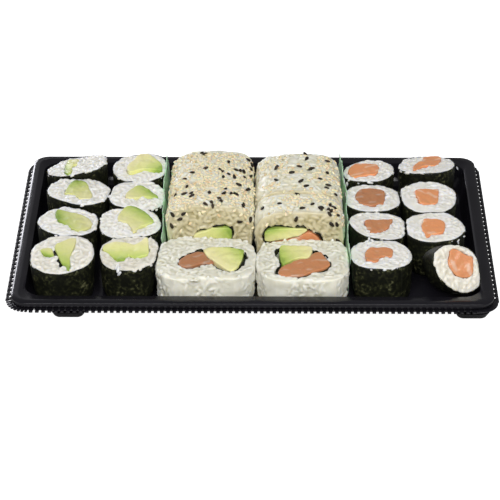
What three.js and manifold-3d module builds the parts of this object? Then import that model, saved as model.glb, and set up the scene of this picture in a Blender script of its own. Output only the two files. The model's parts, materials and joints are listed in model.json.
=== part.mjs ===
// A takeaway sushi tray: a shallow black vacuum-formed tray on four small feet, packed with
// eight avocado rolls, eight salmon rolls, eight inside-out rolls and two strips of green grass film.
// Millimetres, +Z up. The origin is on the ground, under the middle of the tray. The long side runs
// along X, and the front of the tray faces -Y.
import * as THREE from 'three';
import { mergeVertices } from 'three/addons/utils/BufferGeometryUtils.js';
import Module from 'manifold-3d';

const wasm = await Module();
wasm.setup();

// ---- Driving dimensions -------------------------------------------------------------------------
const SHEET = 0.8; // thickness of the formed plastic
const CLEARANCE = 0.3; // kept between any two pieces
const TRAY_LENGTH = 220; // over the tips of the toothed edge
const TRAY_WIDTH = 140;
const RIM_HEIGHT = 15.5; // top of the rim above the ground
const FLOOR_HEIGHT = 4.6; // upper face of the tray's floor
const RIM_CORNER = 7.2; // corner radius of the rim's outer edge

// Toothed edge round the foot of the rim's skirt.
const TOOTH = { length: 2.6, notch: 2, top: 12.1, bottom: 11.3, pitchX: 2.78, pitchY: 3.8, perCorner: 5 };

// The tray's wall from the skirt over the rim and down to the floor. Inset is measured from the tips
// of the teeth along X and Y, and radius is the corner radius at that inset.
const OUTER_WALL = [
  { insetX: 11.6, insetY: 13.4, z: 3.8, radius: 6 },
  { insetX: 9.6, insetY: 11.4, z: 5.0, radius: 7.5 },
  { insetX: 8.2, insetY: 9.0, z: 6.6, radius: 8.5 },
  { insetX: 7.5, insetY: 8.0, z: 9.0, radius: 9 },
  { insetX: 7.2, insetY: 7.6, z: 13.8, radius: 9 },
  { insetX: 3.6, insetY: 3.6, z: 14.6, radius: 6.6 },
  { insetX: 3.3, insetY: 3.3, z: 11.3, radius: 6.6 },
  { insetX: 2.5, insetY: 2.5, z: 11.3, radius: RIM_CORNER },
  { insetX: 2.5, insetY: 2.5, z: 12.2, radius: RIM_CORNER },
  { insetX: 2.8, insetY: 2.8, z: 15.1, radius: RIM_CORNER },
  { insetX: 3.3, insetY: 3.3, z: RIM_HEIGHT, radius: 6.8 },
];
const INNER_WALL = [
  { insetX: 4.9, insetY: 4.9, z: RIM_HEIGHT, radius: 5.8 },
  { insetX: 5.3, insetY: 5.3, z: 14.7, radius: 5.6 },
  { insetX: 7.9, insetY: 8.3, z: 14.6, radius: 8.4 },
  { insetX: 8.3, insetY: 8.8, z: 9.2, radius: 8.2 },
  { insetX: 9.0, insetY: 9.8, z: 7.0, radius: 7.7 },
  { insetX: 10.2, insetY: 11.6, z: 5.4, radius: 6.7 },
  { insetX: 12.0, insetY: 13.4, z: FLOOR_HEIGHT, radius: 5.2 },
];
const CORNER_STEPS = 5;

// Feet: lugs under the floor, each as outward growth of the sole at a height, and the pockets pressed
// down into them from the floor. Each foot is the middle of its sole and how far its pocket is off it.
const FOOT = {
  length: 12.6, width: 9, radius: 2.4, cornerSteps: 2, profile: [[0, 0], [3.6, 1.9], [6.2, -1.6]],
};
const POCKET = { length: 10, width: 7.4, radius: 1.6, flare: 1.3, top: 5 };
const FEET = [
  { x: -83.4, y: -51.2, offset: 0 },
  { x: 99.2, y: -51.2, offset: -4.8 },
  { x: -83.4, y: 51.2, offset: 0 },
  { x: 99.2, y: 51.2, offset: -4.8 },
];

// Rolls. "x" and "y" place the middle of the upper face, "wide" and "deep" are its size along X and Y
// before it is turned by "turn" degrees, and "rise" is its slope along X and Y.
const CUT_LENGTH = 19; // of the thin rolls, which stand on a cut face
const WELL = { minX: -101.2, maxX: 101.2, minY: -60.2, maxY: 59 }; // room between the walls
const THIN_ROLL_SEGMENTS = 24;
const AVOCADO_ROLLS = [
  { x: -86.7, y: -39.8, wide: 31.1, deep: 27.7, turn: 23, rise: [0.02, 0.12] },
  { x: -85.5, y: -10.6, wide: 29.7, deep: 27.2, turn: -31, rise: [0.0, -0.02] },
  { x: -82.6, y: 18.2, wide: 31.4, deep: 27.0, turn: -27, rise: [-0.01, -0.05] },
  { x: -85.1, y: 42.9, wide: 30.0, deep: 25.3, turn: -9, rise: [0.21, -0.18] },
  { x: -56.0, y: -38.1, wide: 28.3, deep: 27.7, turn: 4, rise: [0.07, 0.06] },
  { x: -57.6, y: -11.6, wide: 30.0, deep: 29.0, turn: 12, rise: [-0.02, 0.02] },
  { x: -54.6, y: 14.0, wide: 28.4, deep: 27.8, turn: 0, rise: [-0.04, 0.0] },
  { x: -54.8, y: 40.9, wide: 27.0, deep: 27.2, turn: 10, rise: [0.05, 0.04] },
];
const SALMON_ROLLS = [
  { x: 58.1, y: -38.9, wide: 29.0, deep: 27.2, turn: 8, rise: [-0.01, -0.01] },
  { x: 58.6, y: -13.0, wide: 28.6, deep: 26.0, turn: 12, rise: [-0.14, -0.01] },
  { x: 56.2, y: 12.2, wide: 28.4, deep: 26.8, turn: 0, rise: [-0.02, 0.0] },
  { x: 55.3, y: 38.5, wide: 24.9, deep: 25.4, turn: -16, rise: [0.09, -0.09] },
  { x: 83.6, y: -14.2, wide: 28.9, deep: 27.6, turn: 24, rise: [0.0, 0.0] },
  { x: 82.4, y: 13.4, wide: 27.9, deep: 29.0, turn: 7, rise: [0.01, 0.05] },
  { x: 83.3, y: 44.7, wide: 27.8, deep: 25.6, turn: -11, rise: [0.06, -0.17] },
];
// The salmon roll in the front right corner has tipped over on to the rim. "reach" is the distance
// from the middle of its upper face to the edge, every 30 degrees.
const TIPPED_ROLL = {
  face: [90.9, -52.5, 24.7], lean: 57, heading: -74, turn: 47,
  reach: [14.2, 11.6, 11.6, 11.4, 10.6, 12.0, 12.4, 9.8, 9.0, 8.8, 9.8, 12.6],
};

// Inside-out rolls. The front pair stands on a cut face, and the others lie with their axis along Y.
const STANDING_URAMAKI = [
  { x: -21.5, y: -42.0, wide: 45.2, deep: 35.0, turn: 0, rise: [0.0, 0.02], height: 18.6 },
  { x: 23.0, y: -43.2, wide: 42.0, deep: 33.8, turn: 0, rise: [0.0, 0.02], height: 18.6 },
];
const LYING_URAMAKI = [
  { x: -19.9, front: -22.6, back: -3.4, wide: 39.8, tall: 32.6, slant: 0.1, droop: 0.0 },
  { x: -19.7, front: -3.0, back: 15.2, wide: 39.4, tall: 31.8, slant: 0.1, droop: 0.0 },
  { x: -19.6, front: 15.7, back: 38.2, wide: 38.6, tall: 31.0, slant: 0.1, droop: 0.12 },
  { x: 21.3, front: -25.2, back: -6.2, wide: 40.6, tall: 31.8, slant: 0.04, droop: 0.0 },
  { x: 21.1, front: -5.8, back: 13.6, wide: 40.2, tall: 31.6, slant: 0.05, droop: 0.0 },
  { x: 20.9, front: 14.1, back: 37.6, wide: 39.6, tall: 30.6, slant: 0.06, droop: 0.12 },
];
const SQUARENESS_THIN = 2.25; // superellipse exponents of the roll sections
const SQUARENESS_THICK = 3.7;
const GRAIN_BUMP = 0.45; // height of the bumps that the rice grains make
const THICK_ROLL_SEGMENTS = 28;
const THIN_ROLL = { cut: CUT_LENGTH, segments: THIN_ROLL_SEGMENTS, squareness: SQUARENESS_THIN, sideBump: 0 };
const THICK_ROLL_DENT = GRAIN_BUMP * 1.6;
const THICK_ROLL = { segments: THICK_ROLL_SEGMENTS, squareness: SQUARENESS_THICK, sideBump: THICK_ROLL_DENT };

// Grass film between the thin and the thick rolls: a thin wavy sheet with a spiky upper edge.
const FILM = { thickness: 0.4, foot: FLOOR_HEIGHT + CLEARANCE, saddle: 22, tip: 30, spikePitch: 5.6 };
const LEFT_FILM = { front: [-40.7, -26], back: [-41.2, 54] };
const RIGHT_FILM = { front: [43.3, -43], back: [41.6, 54] };

const COLOURS = {
  tray: { color: 0x1b1b1f, roughness: 0.35 },
  film: { color: 0x6cc06a, roughness: 0.3 },
  nori: { color: 0x12170a, roughness: 0.6 },
  rice: { color: 0xe6e4d6, roughness: 0.5 },
};

// ---- Small helpers ------------------------------------------------------------------------------
// Seeded random numbers, so that every run gives the same bumps.
function randomNumbers(seed) {
  let state = seed >>> 0;
  return () => {
    state = (Math.imul(state, 1664525) + 1013904223) >>> 0;
    return state / 4294967296;
  };
}

function plainGeometry(positions, indices) {
  const geometry = new THREE.BufferGeometry();
  geometry.setAttribute('position', new THREE.Float32BufferAttribute(positions, 3));
  geometry.setIndex(indices);
  return geometry;
}

// Joins rings of equal point counts into one closed solid. Each ring runs counter-clockwise as seen
// from the last one, and the two end points close it.
function loft(startPoint, rings, endPoint) {
  const count = rings[0].length;
  const positions = [...rings.flat(2), ...startPoint, ...endPoint];
  const start = rings.length * count;
  const end = start + 1;
  const indices = [];
  for (let i = 0; i < count; i += 1) {
    const next = (i + 1) % count;
    indices.push(start, next, i);
    for (let ring = 0; ring < rings.length - 1; ring += 1) {
      const low = ring * count;
      const high = low + count;
      indices.push(low + i, low + next, high + next);
      indices.push(low + i, high + next, high + i);
    }
    const last = (rings.length - 1) * count;
    indices.push(end, last + i, last + next);
  }
  return plainGeometry(positions, indices);
}

function toManifold(geometry) {
  const bare = geometry.clone();
  bare.deleteAttribute('normal');
  bare.deleteAttribute('uv');
  const merged = mergeVertices(bare, 1e-4);
  return new wasm.Manifold(new wasm.Mesh({
    numProp: 3,
    vertProperties: new Float32Array(merged.attributes.position.array),
    triVerts: new Uint32Array(merged.index.array),
  }));
}

function fromManifold(solid) {
  const mesh = solid.getMesh();
  return plainGeometry(Array.from(mesh.vertProperties), Array.from(mesh.triVerts));
}

// A rectangle with round corners, as a ring of points at height z.
function roundedRing(halfX, halfY, radius, z, cornerSteps = CORNER_STEPS) {
  const ring = [];
  for (let corner = 0; corner < 4; corner += 1) {
    const signX = corner === 0 || corner === 3 ? 1 : -1;
    const signY = corner < 2 ? 1 : -1;
    for (let step = 0; step <= cornerSteps; step += 1) {
      const angle = (corner + step / cornerSteps) * (Math.PI / 2);
      const x = signX * (halfX - radius) + radius * Math.cos(angle);
      const y = signY * (halfY - radius) + radius * Math.sin(angle);
      ring.push([x, y, z]);
    }
  }
  return ring;
}

function wallRing({ insetX, insetY, z, radius }) {
  return roundedRing(TRAY_LENGTH / 2 - insetX, TRAY_WIDTH / 2 - insetY, radius, z);
}

// ---- Tray ---------------------------------------------------------------------------------------
// One lofted solid: up the outside of the hull, down inside the skirt and up its outer face, over the
// rim, down the inside wall and across the floor.
function trayShell() {
  const rings = [...OUTER_WALL, ...INNER_WALL].map(wallRing);
  return toManifold(loft([0, 0, OUTER_WALL[0].z], rings, [0, 0, FLOOR_HEIGHT]));
}

// The room inside the well, up to the rim.
function wellSpace() {
  const rings = INNER_WALL.map(wallRing).reverse();
  return toManifold(loft([0, 0, FLOOR_HEIGHT], rings, [0, 0, RIM_HEIGHT]));
}

// A side of the toothed edge: from one corner arc to the next, two points for each tooth.
function toothedOutline() {
  const halfX = TRAY_LENGTH / 2;
  const halfY = TRAY_WIDTH / 2;
  const radius = RIM_CORNER + TOOTH.length;
  const outline = [];
  const corners = [[1, 1, 0], [-1, 1, 1], [-1, -1, 2], [1, -1, 3]];
  for (const [signX, signY, turn] of corners) {
    const centre = new THREE.Vector2(signX * (halfX - radius), signY * (halfY - radius));
    for (let step = 0; step < TOOTH.perCorner * 2; step += 1) {
      const angle = (turn + step / (TOOTH.perCorner * 2)) * (Math.PI / 2);
      const reach = radius - (step % 2 ? TOOTH.notch : 0);
      outline.push(new THREE.Vector2(
        centre.x + reach * Math.cos(angle),
        centre.y + reach * Math.sin(angle),
      ));
    }
    const alongX = turn % 2 === 0;
    const length = 2 * ((alongX ? halfX : halfY) - radius);
    const teeth = Math.round(length / (alongX ? TOOTH.pitchX : TOOTH.pitchY));
    const outward = new THREE.Vector2(Math.cos((turn + 1) * Math.PI / 2), Math.sin((turn + 1) * Math.PI / 2));
    const forward = new THREE.Vector2(-outward.y, outward.x);
    const begin = centre.clone().addScaledVector(outward, radius);
    for (let step = 0; step < teeth * 2; step += 1) {
      const point = begin.clone().addScaledVector(forward, (step * length) / (teeth * 2));
      outline.push(point.addScaledVector(outward, step % 2 ? -TOOTH.notch : 0));
    }
  }
  return outline;
}

function toothedEdge() {
  const shape = new THREE.Shape(toothedOutline());
  const hole = roundedRing(TRAY_LENGTH / 2 - 3, TRAY_WIDTH / 2 - 3, RIM_CORNER - 0.4, 0);
  shape.holes.push(new THREE.Path(hole.map(([x, y]) => new THREE.Vector2(x, y))));
  const geometry = new THREE.ExtrudeGeometry(shape, {
    depth: TOOTH.top - TOOTH.bottom, bevelEnabled: false,
  });
  geometry.translate(0, 0, TOOTH.bottom);
  return toManifold(geometry);
}

// A foot's solid lug, from its sole up to the hull.
function footLug({ x, y }) {
  const rings = FOOT.profile.map(([z, grow]) => roundedRing(
    FOOT.length / 2 + grow, FOOT.width / 2 + grow, FOOT.radius + grow, z, FOOT.cornerSteps,
  ).map(([px, py, pz]) => [px + x, py + y, pz]));
  const top = FOOT.profile[FOOT.profile.length - 1][0];
  return toManifold(loft([x, y, 0], rings, [x, y, top]));
}

// The pocket that is pressed down into a foot.
function footPocket({ x, y, offset }) {
  const middle = x + offset;
  const rings = [[SHEET, 0], [POCKET.top, POCKET.flare]].map(([z, grow]) => roundedRing(
    POCKET.length / 2 + grow, POCKET.width / 2 + grow, POCKET.radius + grow, z, FOOT.cornerSteps,
  ).map(([px, py, pz]) => [px + middle, py + y, pz]));
  return toManifold(loft([middle, y, SHEET], rings, [middle, y, POCKET.top]));
}

function trayGeometry() {
  let tray = trayShell().add(toothedEdge());
  for (const foot of FEET) {
    tray = tray.add(footLug(foot));
  }
  // The lugs reach above the floor, so the well is cleared before the pockets are pressed.
  tray = tray.subtract(wellSpace());
  for (const foot of FEET) {
    tray = tray.subtract(footPocket(foot));
  }
  return fromManifold(tray);
}

// ---- Roll outlines ------------------------------------------------------------------------------
// Distance from the middle of a squarish oval to its edge, with slow waves that no two rolls share.
function ovalReach(angle, wide, deep, squareness, phase) {
  const across = Math.abs(Math.cos(angle) / (wide / 2)) ** squareness;
  const along = Math.abs(Math.sin(angle) / (deep / 2)) ** squareness;
  const wave = 0.018 * Math.sin(3 * angle + phase) + 0.012 * Math.sin(5 * angle + 2 * phase);
  return (across + along) ** (-1 / squareness) * (1 + wave);
}

// Distance from the middle of a roll's upper face to its edge: from its table, or a turned oval.
function outlineReach(roll, angle, squareness, phase) {
  if (!roll.reach) {
    return ovalReach(angle - THREE.MathUtils.degToRad(roll.turn), roll.wide, roll.deep, squareness, phase);
  }
  const place = (angle / (2 * Math.PI)) * roll.reach.length;
  const index = Math.floor(place) % roll.reach.length;
  const next = (index + 1) % roll.reach.length;
  const part = THREE.MathUtils.smoothstep(place % 1, 0, 1);
  return THREE.MathUtils.lerp(roll.reach[index], roll.reach[next], part);
}

// Straight lines that a roll may not cross: the tray's walls, the films and the seams where it is
// pressed flat against its neighbours. Each is a direction and a distance from the roll's middle.
function limitsFor(roll, neighbours, bounds) {
  const limits = [
    { angle: 0, distance: bounds.maxX - roll.x },
    { angle: Math.PI, distance: roll.x - bounds.minX },
    { angle: Math.PI / 2, distance: bounds.maxY - roll.y },
    { angle: -Math.PI / 2, distance: roll.y - bounds.minY },
  ];
  for (const other of neighbours) {
    if (other === roll) {
      continue;
    }
    const angle = Math.atan2(other.y - roll.y, other.x - roll.x);
    const apart = Math.hypot(other.x - roll.x, other.y - roll.y);
    const mine = outlineReach(roll, angle, SQUARENESS_THIN, 0);
    const theirs = outlineReach(other, angle + Math.PI, SQUARENESS_THIN, 0);
    limits.push({ angle, distance: (apart * mine) / (mine + theirs) - CLEARANCE / 2 });
  }
  return limits;
}

function pressedReach(angle, reach, limits, pinch) {
  let pressed = reach;
  for (const limit of limits) {
    const toward = Math.cos(angle - limit.angle);
    if (toward > 0.05) {
      pressed = Math.min(pressed, (limit.distance - pinch) / toward);
    }
  }
  return pressed;
}

// Every other layer is turned by half a step, so that the bumps don't line up like spokes.
function layerTurn(index) {
  return index % 2 === 0 ? 0 : 0.5;
}

// ---- Rolls that stand on a cut face -------------------------------------------------------------
// Each layer of the solid: its share of the outline, its height above the sole or below the upper
// face, how far it keeps from walls and neighbours, and how much of a grain bump it has.
const STANDING_LAYERS = [
  { share: 0.93, above: 0, pinch: 3.4, bump: 0 },
  { share: 0.975, above: 2.4, pinch: 1.5, bump: 0 },
  { share: 1.0, below: 1.3, pinch: 0, bump: 0 },
  { share: 0.965, below: 0.1, pinch: 0, bump: 0.3 },
  { share: 0.82, below: 0, pinch: 0, bump: 1 },
  { share: 0.64, below: 0, pinch: 0, bump: 1 },
  { share: 0.45, below: 0.1, pinch: 0, bump: 1 },
  { share: 0.24, below: -0.3, pinch: 0, bump: 0.4 },
];

function standingRoll(roll, { cut, segments, squareness, phase, limits, sideBump }) {
  const random = randomNumbers(1000 + Math.round(phase * 97));
  const bottom = FLOOR_HEIGHT + CLEARANCE;
  const rings = STANDING_LAYERS.map((layer, index) => {
    const ring = [];
    for (let i = 0; i < segments; i += 1) {
      const angle = ((i + layerTurn(index)) / segments) * 2 * Math.PI;
      const free = outlineReach(roll, angle, squareness, phase);
      const dent = layer.share > 0.96 ? sideBump * random() : 0;
      const reach = pressedReach(angle, (free - dent) * layer.share, limits, layer.pinch);
      const x = reach * Math.cos(angle);
      const y = reach * Math.sin(angle);
      const slope = x * roll.rise[0] + y * roll.rise[1];
      const bump = layer.bump * GRAIN_BUMP * (random() - 0.5) * 2;
      const z = layer.above === undefined ? cut + slope - layer.below + bump : layer.above;
      ring.push([roll.x + x, roll.y + y, bottom + z]);
    }
    return ring;
  });
  return loft([roll.x, roll.y, bottom], rings, [roll.x, roll.y, bottom + cut + 0.4]);
}

// ---- The tipped roll ----------------------------------------------------------------------------
function tippedRoll({ face, lean, heading, turn, reach }) {
  const roll = { x: 0, y: 0, reach, rise: [0, 0] };
  const geometry = standingRoll(roll, { ...THIN_ROLL, phase: 9.1, limits: [] });
  geometry.translate(0, 0, -(FLOOR_HEIGHT + CLEARANCE + CUT_LENGTH));
  geometry.rotateZ(THREE.MathUtils.degToRad(turn));
  geometry.rotateY(THREE.MathUtils.degToRad(lean));
  geometry.rotateZ(THREE.MathUtils.degToRad(heading));
  geometry.translate(...face);
  return geometry;
}

// ---- Rolls that lie on their side ---------------------------------------------------------------
// Layers from the front face to the back one: share of the section, and place along the axis from 0
// at the front to 1 at the back.
const LYING_LAYERS = [
  { share: 0.5, along: 0, bump: 0.3 },
  { share: 0.9, along: 0, bump: 0.2 },
  { share: 0.97, along: 0.07, bump: 0.6 },
  { share: 1.0, along: 0.3, bump: 1 },
  { share: 1.0, along: 0.5, bump: 1 },
  { share: 1.0, along: 0.7, bump: 1 },
  { share: 0.97, along: 0.93, bump: 0.6 },
  { share: 0.9, along: 1, bump: 0.2 },
  { share: 0.5, along: 1, bump: 0.3 },
];

function lyingRoll(roll, phase) {
  const random = randomNumbers(5000 + Math.round(phase * 61));
  const bottom = FLOOR_HEIGHT + CLEARANCE;
  const middle = bottom + roll.tall / 2;
  const length = roll.back - roll.front;
  const place = (x, up, along) => {
    const sag = Math.max(0, up) * roll.droop * along;
    const z = middle + up - sag;
    return [roll.x + x, roll.front + along * length + (z - bottom) * roll.slant, z];
  };
  const rings = LYING_LAYERS.map((layer, index) => {
    const ring = [];
    for (let i = 0; i < THICK_ROLL_SEGMENTS; i += 1) {
      const angle = ((i + layerTurn(index)) / THICK_ROLL_SEGMENTS) * 2 * Math.PI;
      const reach = ovalReach(angle, roll.wide, roll.tall, SQUARENESS_THICK, 0);
      const dent = THICK_ROLL_DENT * random() * layer.bump;
      const x = -(reach * layer.share - dent) * Math.cos(angle);
      const up = (reach * layer.share - dent) * Math.sin(angle);
      ring.push(place(x, up, layer.along));
    }
    return ring;
  });
  return loft(place(0, 0, 0), rings, place(0, 0, 1));
}

// ---- Grass film ---------------------------------------------------------------------------------
function filmX({ front, back }, y) {
  return THREE.MathUtils.mapLinear(y, front[1], back[1], front[0], back[0]);
}

function filmGeometry(line, phase) {
  const front = line.front[1];
  const back = line.back[1];
  const spikes = Math.round((back - front) / FILM.spikePitch);
  const pitch = (back - front) / spikes;
  const outline = new THREE.Shape();
  outline.moveTo(front, FILM.foot);
  outline.lineTo(back, FILM.foot);
  for (let i = spikes; i > 0; i -= 1) {
    outline.lineTo(front + i * pitch, FILM.saddle);
    outline.lineTo(front + (i - 0.45) * pitch, FILM.tip - 1.5 * Math.abs(Math.sin(i * 2.1 + phase)));
  }
  outline.lineTo(front, FILM.saddle);
  const sheet = new THREE.ExtrudeGeometry(outline, { depth: FILM.thickness, bevelEnabled: false });
  const position = sheet.attributes.position;
  for (let i = 0; i < position.count; i += 1) {
    const y = position.getX(i);
    const x = filmX(line, y) + position.getZ(i) - FILM.thickness / 2;
    position.setXYZ(i, x, y, position.getY(i));
  }
  return sheet;
}

// The free room between the tray's wall and a film, at a roll's place along the film.
function leftBounds(roll) {
  const film = Math.min(filmX(LEFT_FILM, roll.y - roll.deep / 2), filmX(LEFT_FILM, roll.y + roll.deep / 2));
  return { ...WELL, maxX: film - FILM.thickness / 2 - CLEARANCE };
}

function rightBounds(roll) {
  const film = Math.max(filmX(RIGHT_FILM, roll.y - roll.deep / 2), filmX(RIGHT_FILM, roll.y + roll.deep / 2));
  return { ...WELL, minX: film + FILM.thickness / 2 + CLEARANCE };
}

// ---- Assembly -----------------------------------------------------------------------------------
const sushiTray = new THREE.Group();

function addPiece(name, geometry, colour) {
  const mesh = new THREE.Mesh(geometry, new THREE.MeshStandardMaterial({ ...colour, metalness: 0 }));
  mesh.name = name;
  sushiTray.add(mesh);
}

addPiece('tray', trayGeometry(), COLOURS.tray);
addPiece('divider_left', filmGeometry(LEFT_FILM, 0.4), COLOURS.film);
addPiece('divider_right', filmGeometry(RIGHT_FILM, 1.9), COLOURS.film);

AVOCADO_ROLLS.forEach((roll, index) => {
  const limits = limitsFor(roll, [...AVOCADO_ROLLS, STANDING_URAMAKI[0]], leftBounds(roll));
  const geometry = standingRoll(roll, { ...THIN_ROLL, phase: 1.7 * index, limits });
  addPiece(`avocado_maki_${index + 1}`, geometry, COLOURS.nori);
});
SALMON_ROLLS.forEach((roll, index) => {
  const limits = limitsFor(roll, SALMON_ROLLS, rightBounds(roll));
  const geometry = standingRoll(roll, { ...THIN_ROLL, phase: 4 + 1.7 * index, limits });
  addPiece(`salmon_maki_${index + 1}`, geometry, COLOURS.nori);
});
addPiece('salmon_maki_8', tippedRoll(TIPPED_ROLL), COLOURS.nori);
STANDING_URAMAKI.forEach((roll, index) => {
  const bounds = { ...WELL, maxX: filmX(RIGHT_FILM, roll.y) - FILM.thickness / 2 - CLEARANCE };
  const limits = limitsFor(roll, [...STANDING_URAMAKI, AVOCADO_ROLLS[4]], bounds);
  const geometry = standingRoll(roll, { ...THICK_ROLL, cut: roll.height, phase: 2 + 3 * index, limits });
  addPiece(`uramaki_${index + 1}`, geometry, COLOURS.rice);
});
LYING_URAMAKI.forEach((roll, index) => {
  addPiece(`uramaki_${index + 3}`, lyingRoll(roll, 1.3 * (index + 1)), COLOURS.rice);
});

export default sushiTray;
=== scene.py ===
"""Dresses a packed takeaway sushi tray: glossy formed plastic, nori rolls, inside-out rolls, sesame and grass film.

The frame's solids say where every roll lies. The numbers in the tables below are millimetres.
"""

import json
import math

import bmesh
import bpy
import numpy as np
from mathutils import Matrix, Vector, noise
from mathutils.bvhtree import BVHTree

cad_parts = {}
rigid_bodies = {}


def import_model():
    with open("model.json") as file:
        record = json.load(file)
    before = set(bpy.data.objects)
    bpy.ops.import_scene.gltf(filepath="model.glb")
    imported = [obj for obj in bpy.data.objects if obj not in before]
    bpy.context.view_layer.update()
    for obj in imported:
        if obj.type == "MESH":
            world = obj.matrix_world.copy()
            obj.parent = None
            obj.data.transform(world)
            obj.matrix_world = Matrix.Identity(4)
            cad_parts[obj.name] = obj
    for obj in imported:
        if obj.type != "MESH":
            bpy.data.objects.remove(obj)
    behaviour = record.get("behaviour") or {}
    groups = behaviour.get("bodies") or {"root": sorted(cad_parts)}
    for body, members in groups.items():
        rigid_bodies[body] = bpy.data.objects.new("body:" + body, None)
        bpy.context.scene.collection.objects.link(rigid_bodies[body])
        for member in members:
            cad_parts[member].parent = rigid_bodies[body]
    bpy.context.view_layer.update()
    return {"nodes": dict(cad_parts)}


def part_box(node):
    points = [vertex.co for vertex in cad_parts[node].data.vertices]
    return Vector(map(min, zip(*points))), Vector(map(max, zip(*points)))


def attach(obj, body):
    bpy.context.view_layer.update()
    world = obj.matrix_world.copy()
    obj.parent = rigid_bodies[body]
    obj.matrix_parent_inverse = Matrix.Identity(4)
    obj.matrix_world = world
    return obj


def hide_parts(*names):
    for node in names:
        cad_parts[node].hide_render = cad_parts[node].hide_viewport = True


bl_info = {
    "name": "Takeaway sushi tray",
    "version": (1, 0, 0),
    "blender": (4, 5, 0),
    "location": "3D View > Sidebar > Sushi",
    "description": "Builds the looks of a packed sushi tray round its CAD frame",
    "category": "Object",
}

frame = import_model()
MM = 0.001

# ---- Recipe -------------------------------------------------------------------------------------
# The tray's wall, as (inset along X, inset along Y, height, corner radius), insets from the tooth tips.
OUTER_WALL = [
    (12.6, 14.4, 4.0, 5.6), (9.9, 11.7, 5.1, 7.4), (8.3, 9.1, 6.8, 8.5), (7.2, 7.9, 9.0, 9.0), (6.8, 7.5, 13.8, 9.0),
    (5.0, 5.0, 14.5, 5.8), (5.0, 5.0, 11.3, 5.8), (3.8, 3.8, 11.3, 6.4), (3.8, 3.8, 11.9, 6.4), (4.5, 4.5, 11.9, 6.0),
    (4.5, 4.5, 12.95, 6.0), (1.95, 2.4, 12.95, 7.2), (1.75, 2.2, 15.05, 7.4), (2.8, 3.25, 15.5, 6.8),
]
INNER_WALL = [
    (5.4, 5.4, 15.5, 5.6), (6.0, 5.6, 15.3, 5.5), (7.5, 8.6, 15.25, 8.3), (7.9, 8.8, 9.2, 8.2), (9.0, 9.8, 7.0, 7.7),
    (10.2, 11.6, 5.4, 6.7), (12.0, 13.4, 4.6, 5.2),
]
# How far the teeth reach past the tray's solid on the left, on the right, and at the front and back.
TOOTH_REACH = (0.8, 0.35, -0.5)
# The comb of teeth: radius of its corners, height, how deep the teeth are rooted inside the edge, and the teeth's
# pitch along the front and back, along the sides and round the corners, where they are also a little shorter.
COMB_RADIUS, COMB_LEVEL, COMB_ROOT = 9.8, 11.8, 3.6
FRONT_PITCH, SIDE_PITCH, CORNER_PITCH, CORNER_SHORTER = 2.78, 3.8, 2, 0.4
# A tooth's height, the length over which its stem widens into the bar, and the rounding of its edges.
TOOTH_HEIGHT, BAR_STEP, TOOTH_EDGE = 0.6, 0.06, 0.07
# Feet as the middle of the lug and how far its pocket lies aside; profile as (height, growth).
FEET = [(-83.4, -51.2, 0), (99.2, -51.2, -4.8), (-83.4, 51.2, 0), (99.2, 51.2, -4.8)]
FOOT_LENGTH, FOOT_WIDTH, FOOT_RADIUS = 12.6, 9.0, 2.4
FOOT_PROFILE = [(0, -0.2), (0.5, 0.4), (3.6, 2.3), (6.2, -1.6)]
POCKET_LENGTH, POCKET_WIDTH, POCKET_RADIUS, POCKET_FLARE, POCKET_TOP = 10, 7.4, 1.6, 1.3, 5
SHEET = 0.8

# Middle of the upper face of every standing roll.
MIDDLES = {
    "avocado_maki_1": (-86.7, -39.8), "avocado_maki_2": (-85.5, -10.6), "avocado_maki_3": (-82.6, 18.2),
    "avocado_maki_4": (-85.1, 42.9), "avocado_maki_5": (-56.0, -38.1), "avocado_maki_6": (-57.6, -11.6),
    "avocado_maki_7": (-54.6, 14.0), "avocado_maki_8": (-54.8, 40.9), "salmon_maki_1": (58.1, -38.9),
    "salmon_maki_2": (58.6, -13.0), "salmon_maki_3": (56.2, 12.2), "salmon_maki_4": (55.3, 38.5),
    "salmon_maki_5": (83.6, -14.2), "salmon_maki_6": (82.4, 13.4), "salmon_maki_7": (83.3, 44.7),
    "uramaki_1": (-21.5, -42.0), "uramaki_2": (23.0, -43.2),
}

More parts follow.
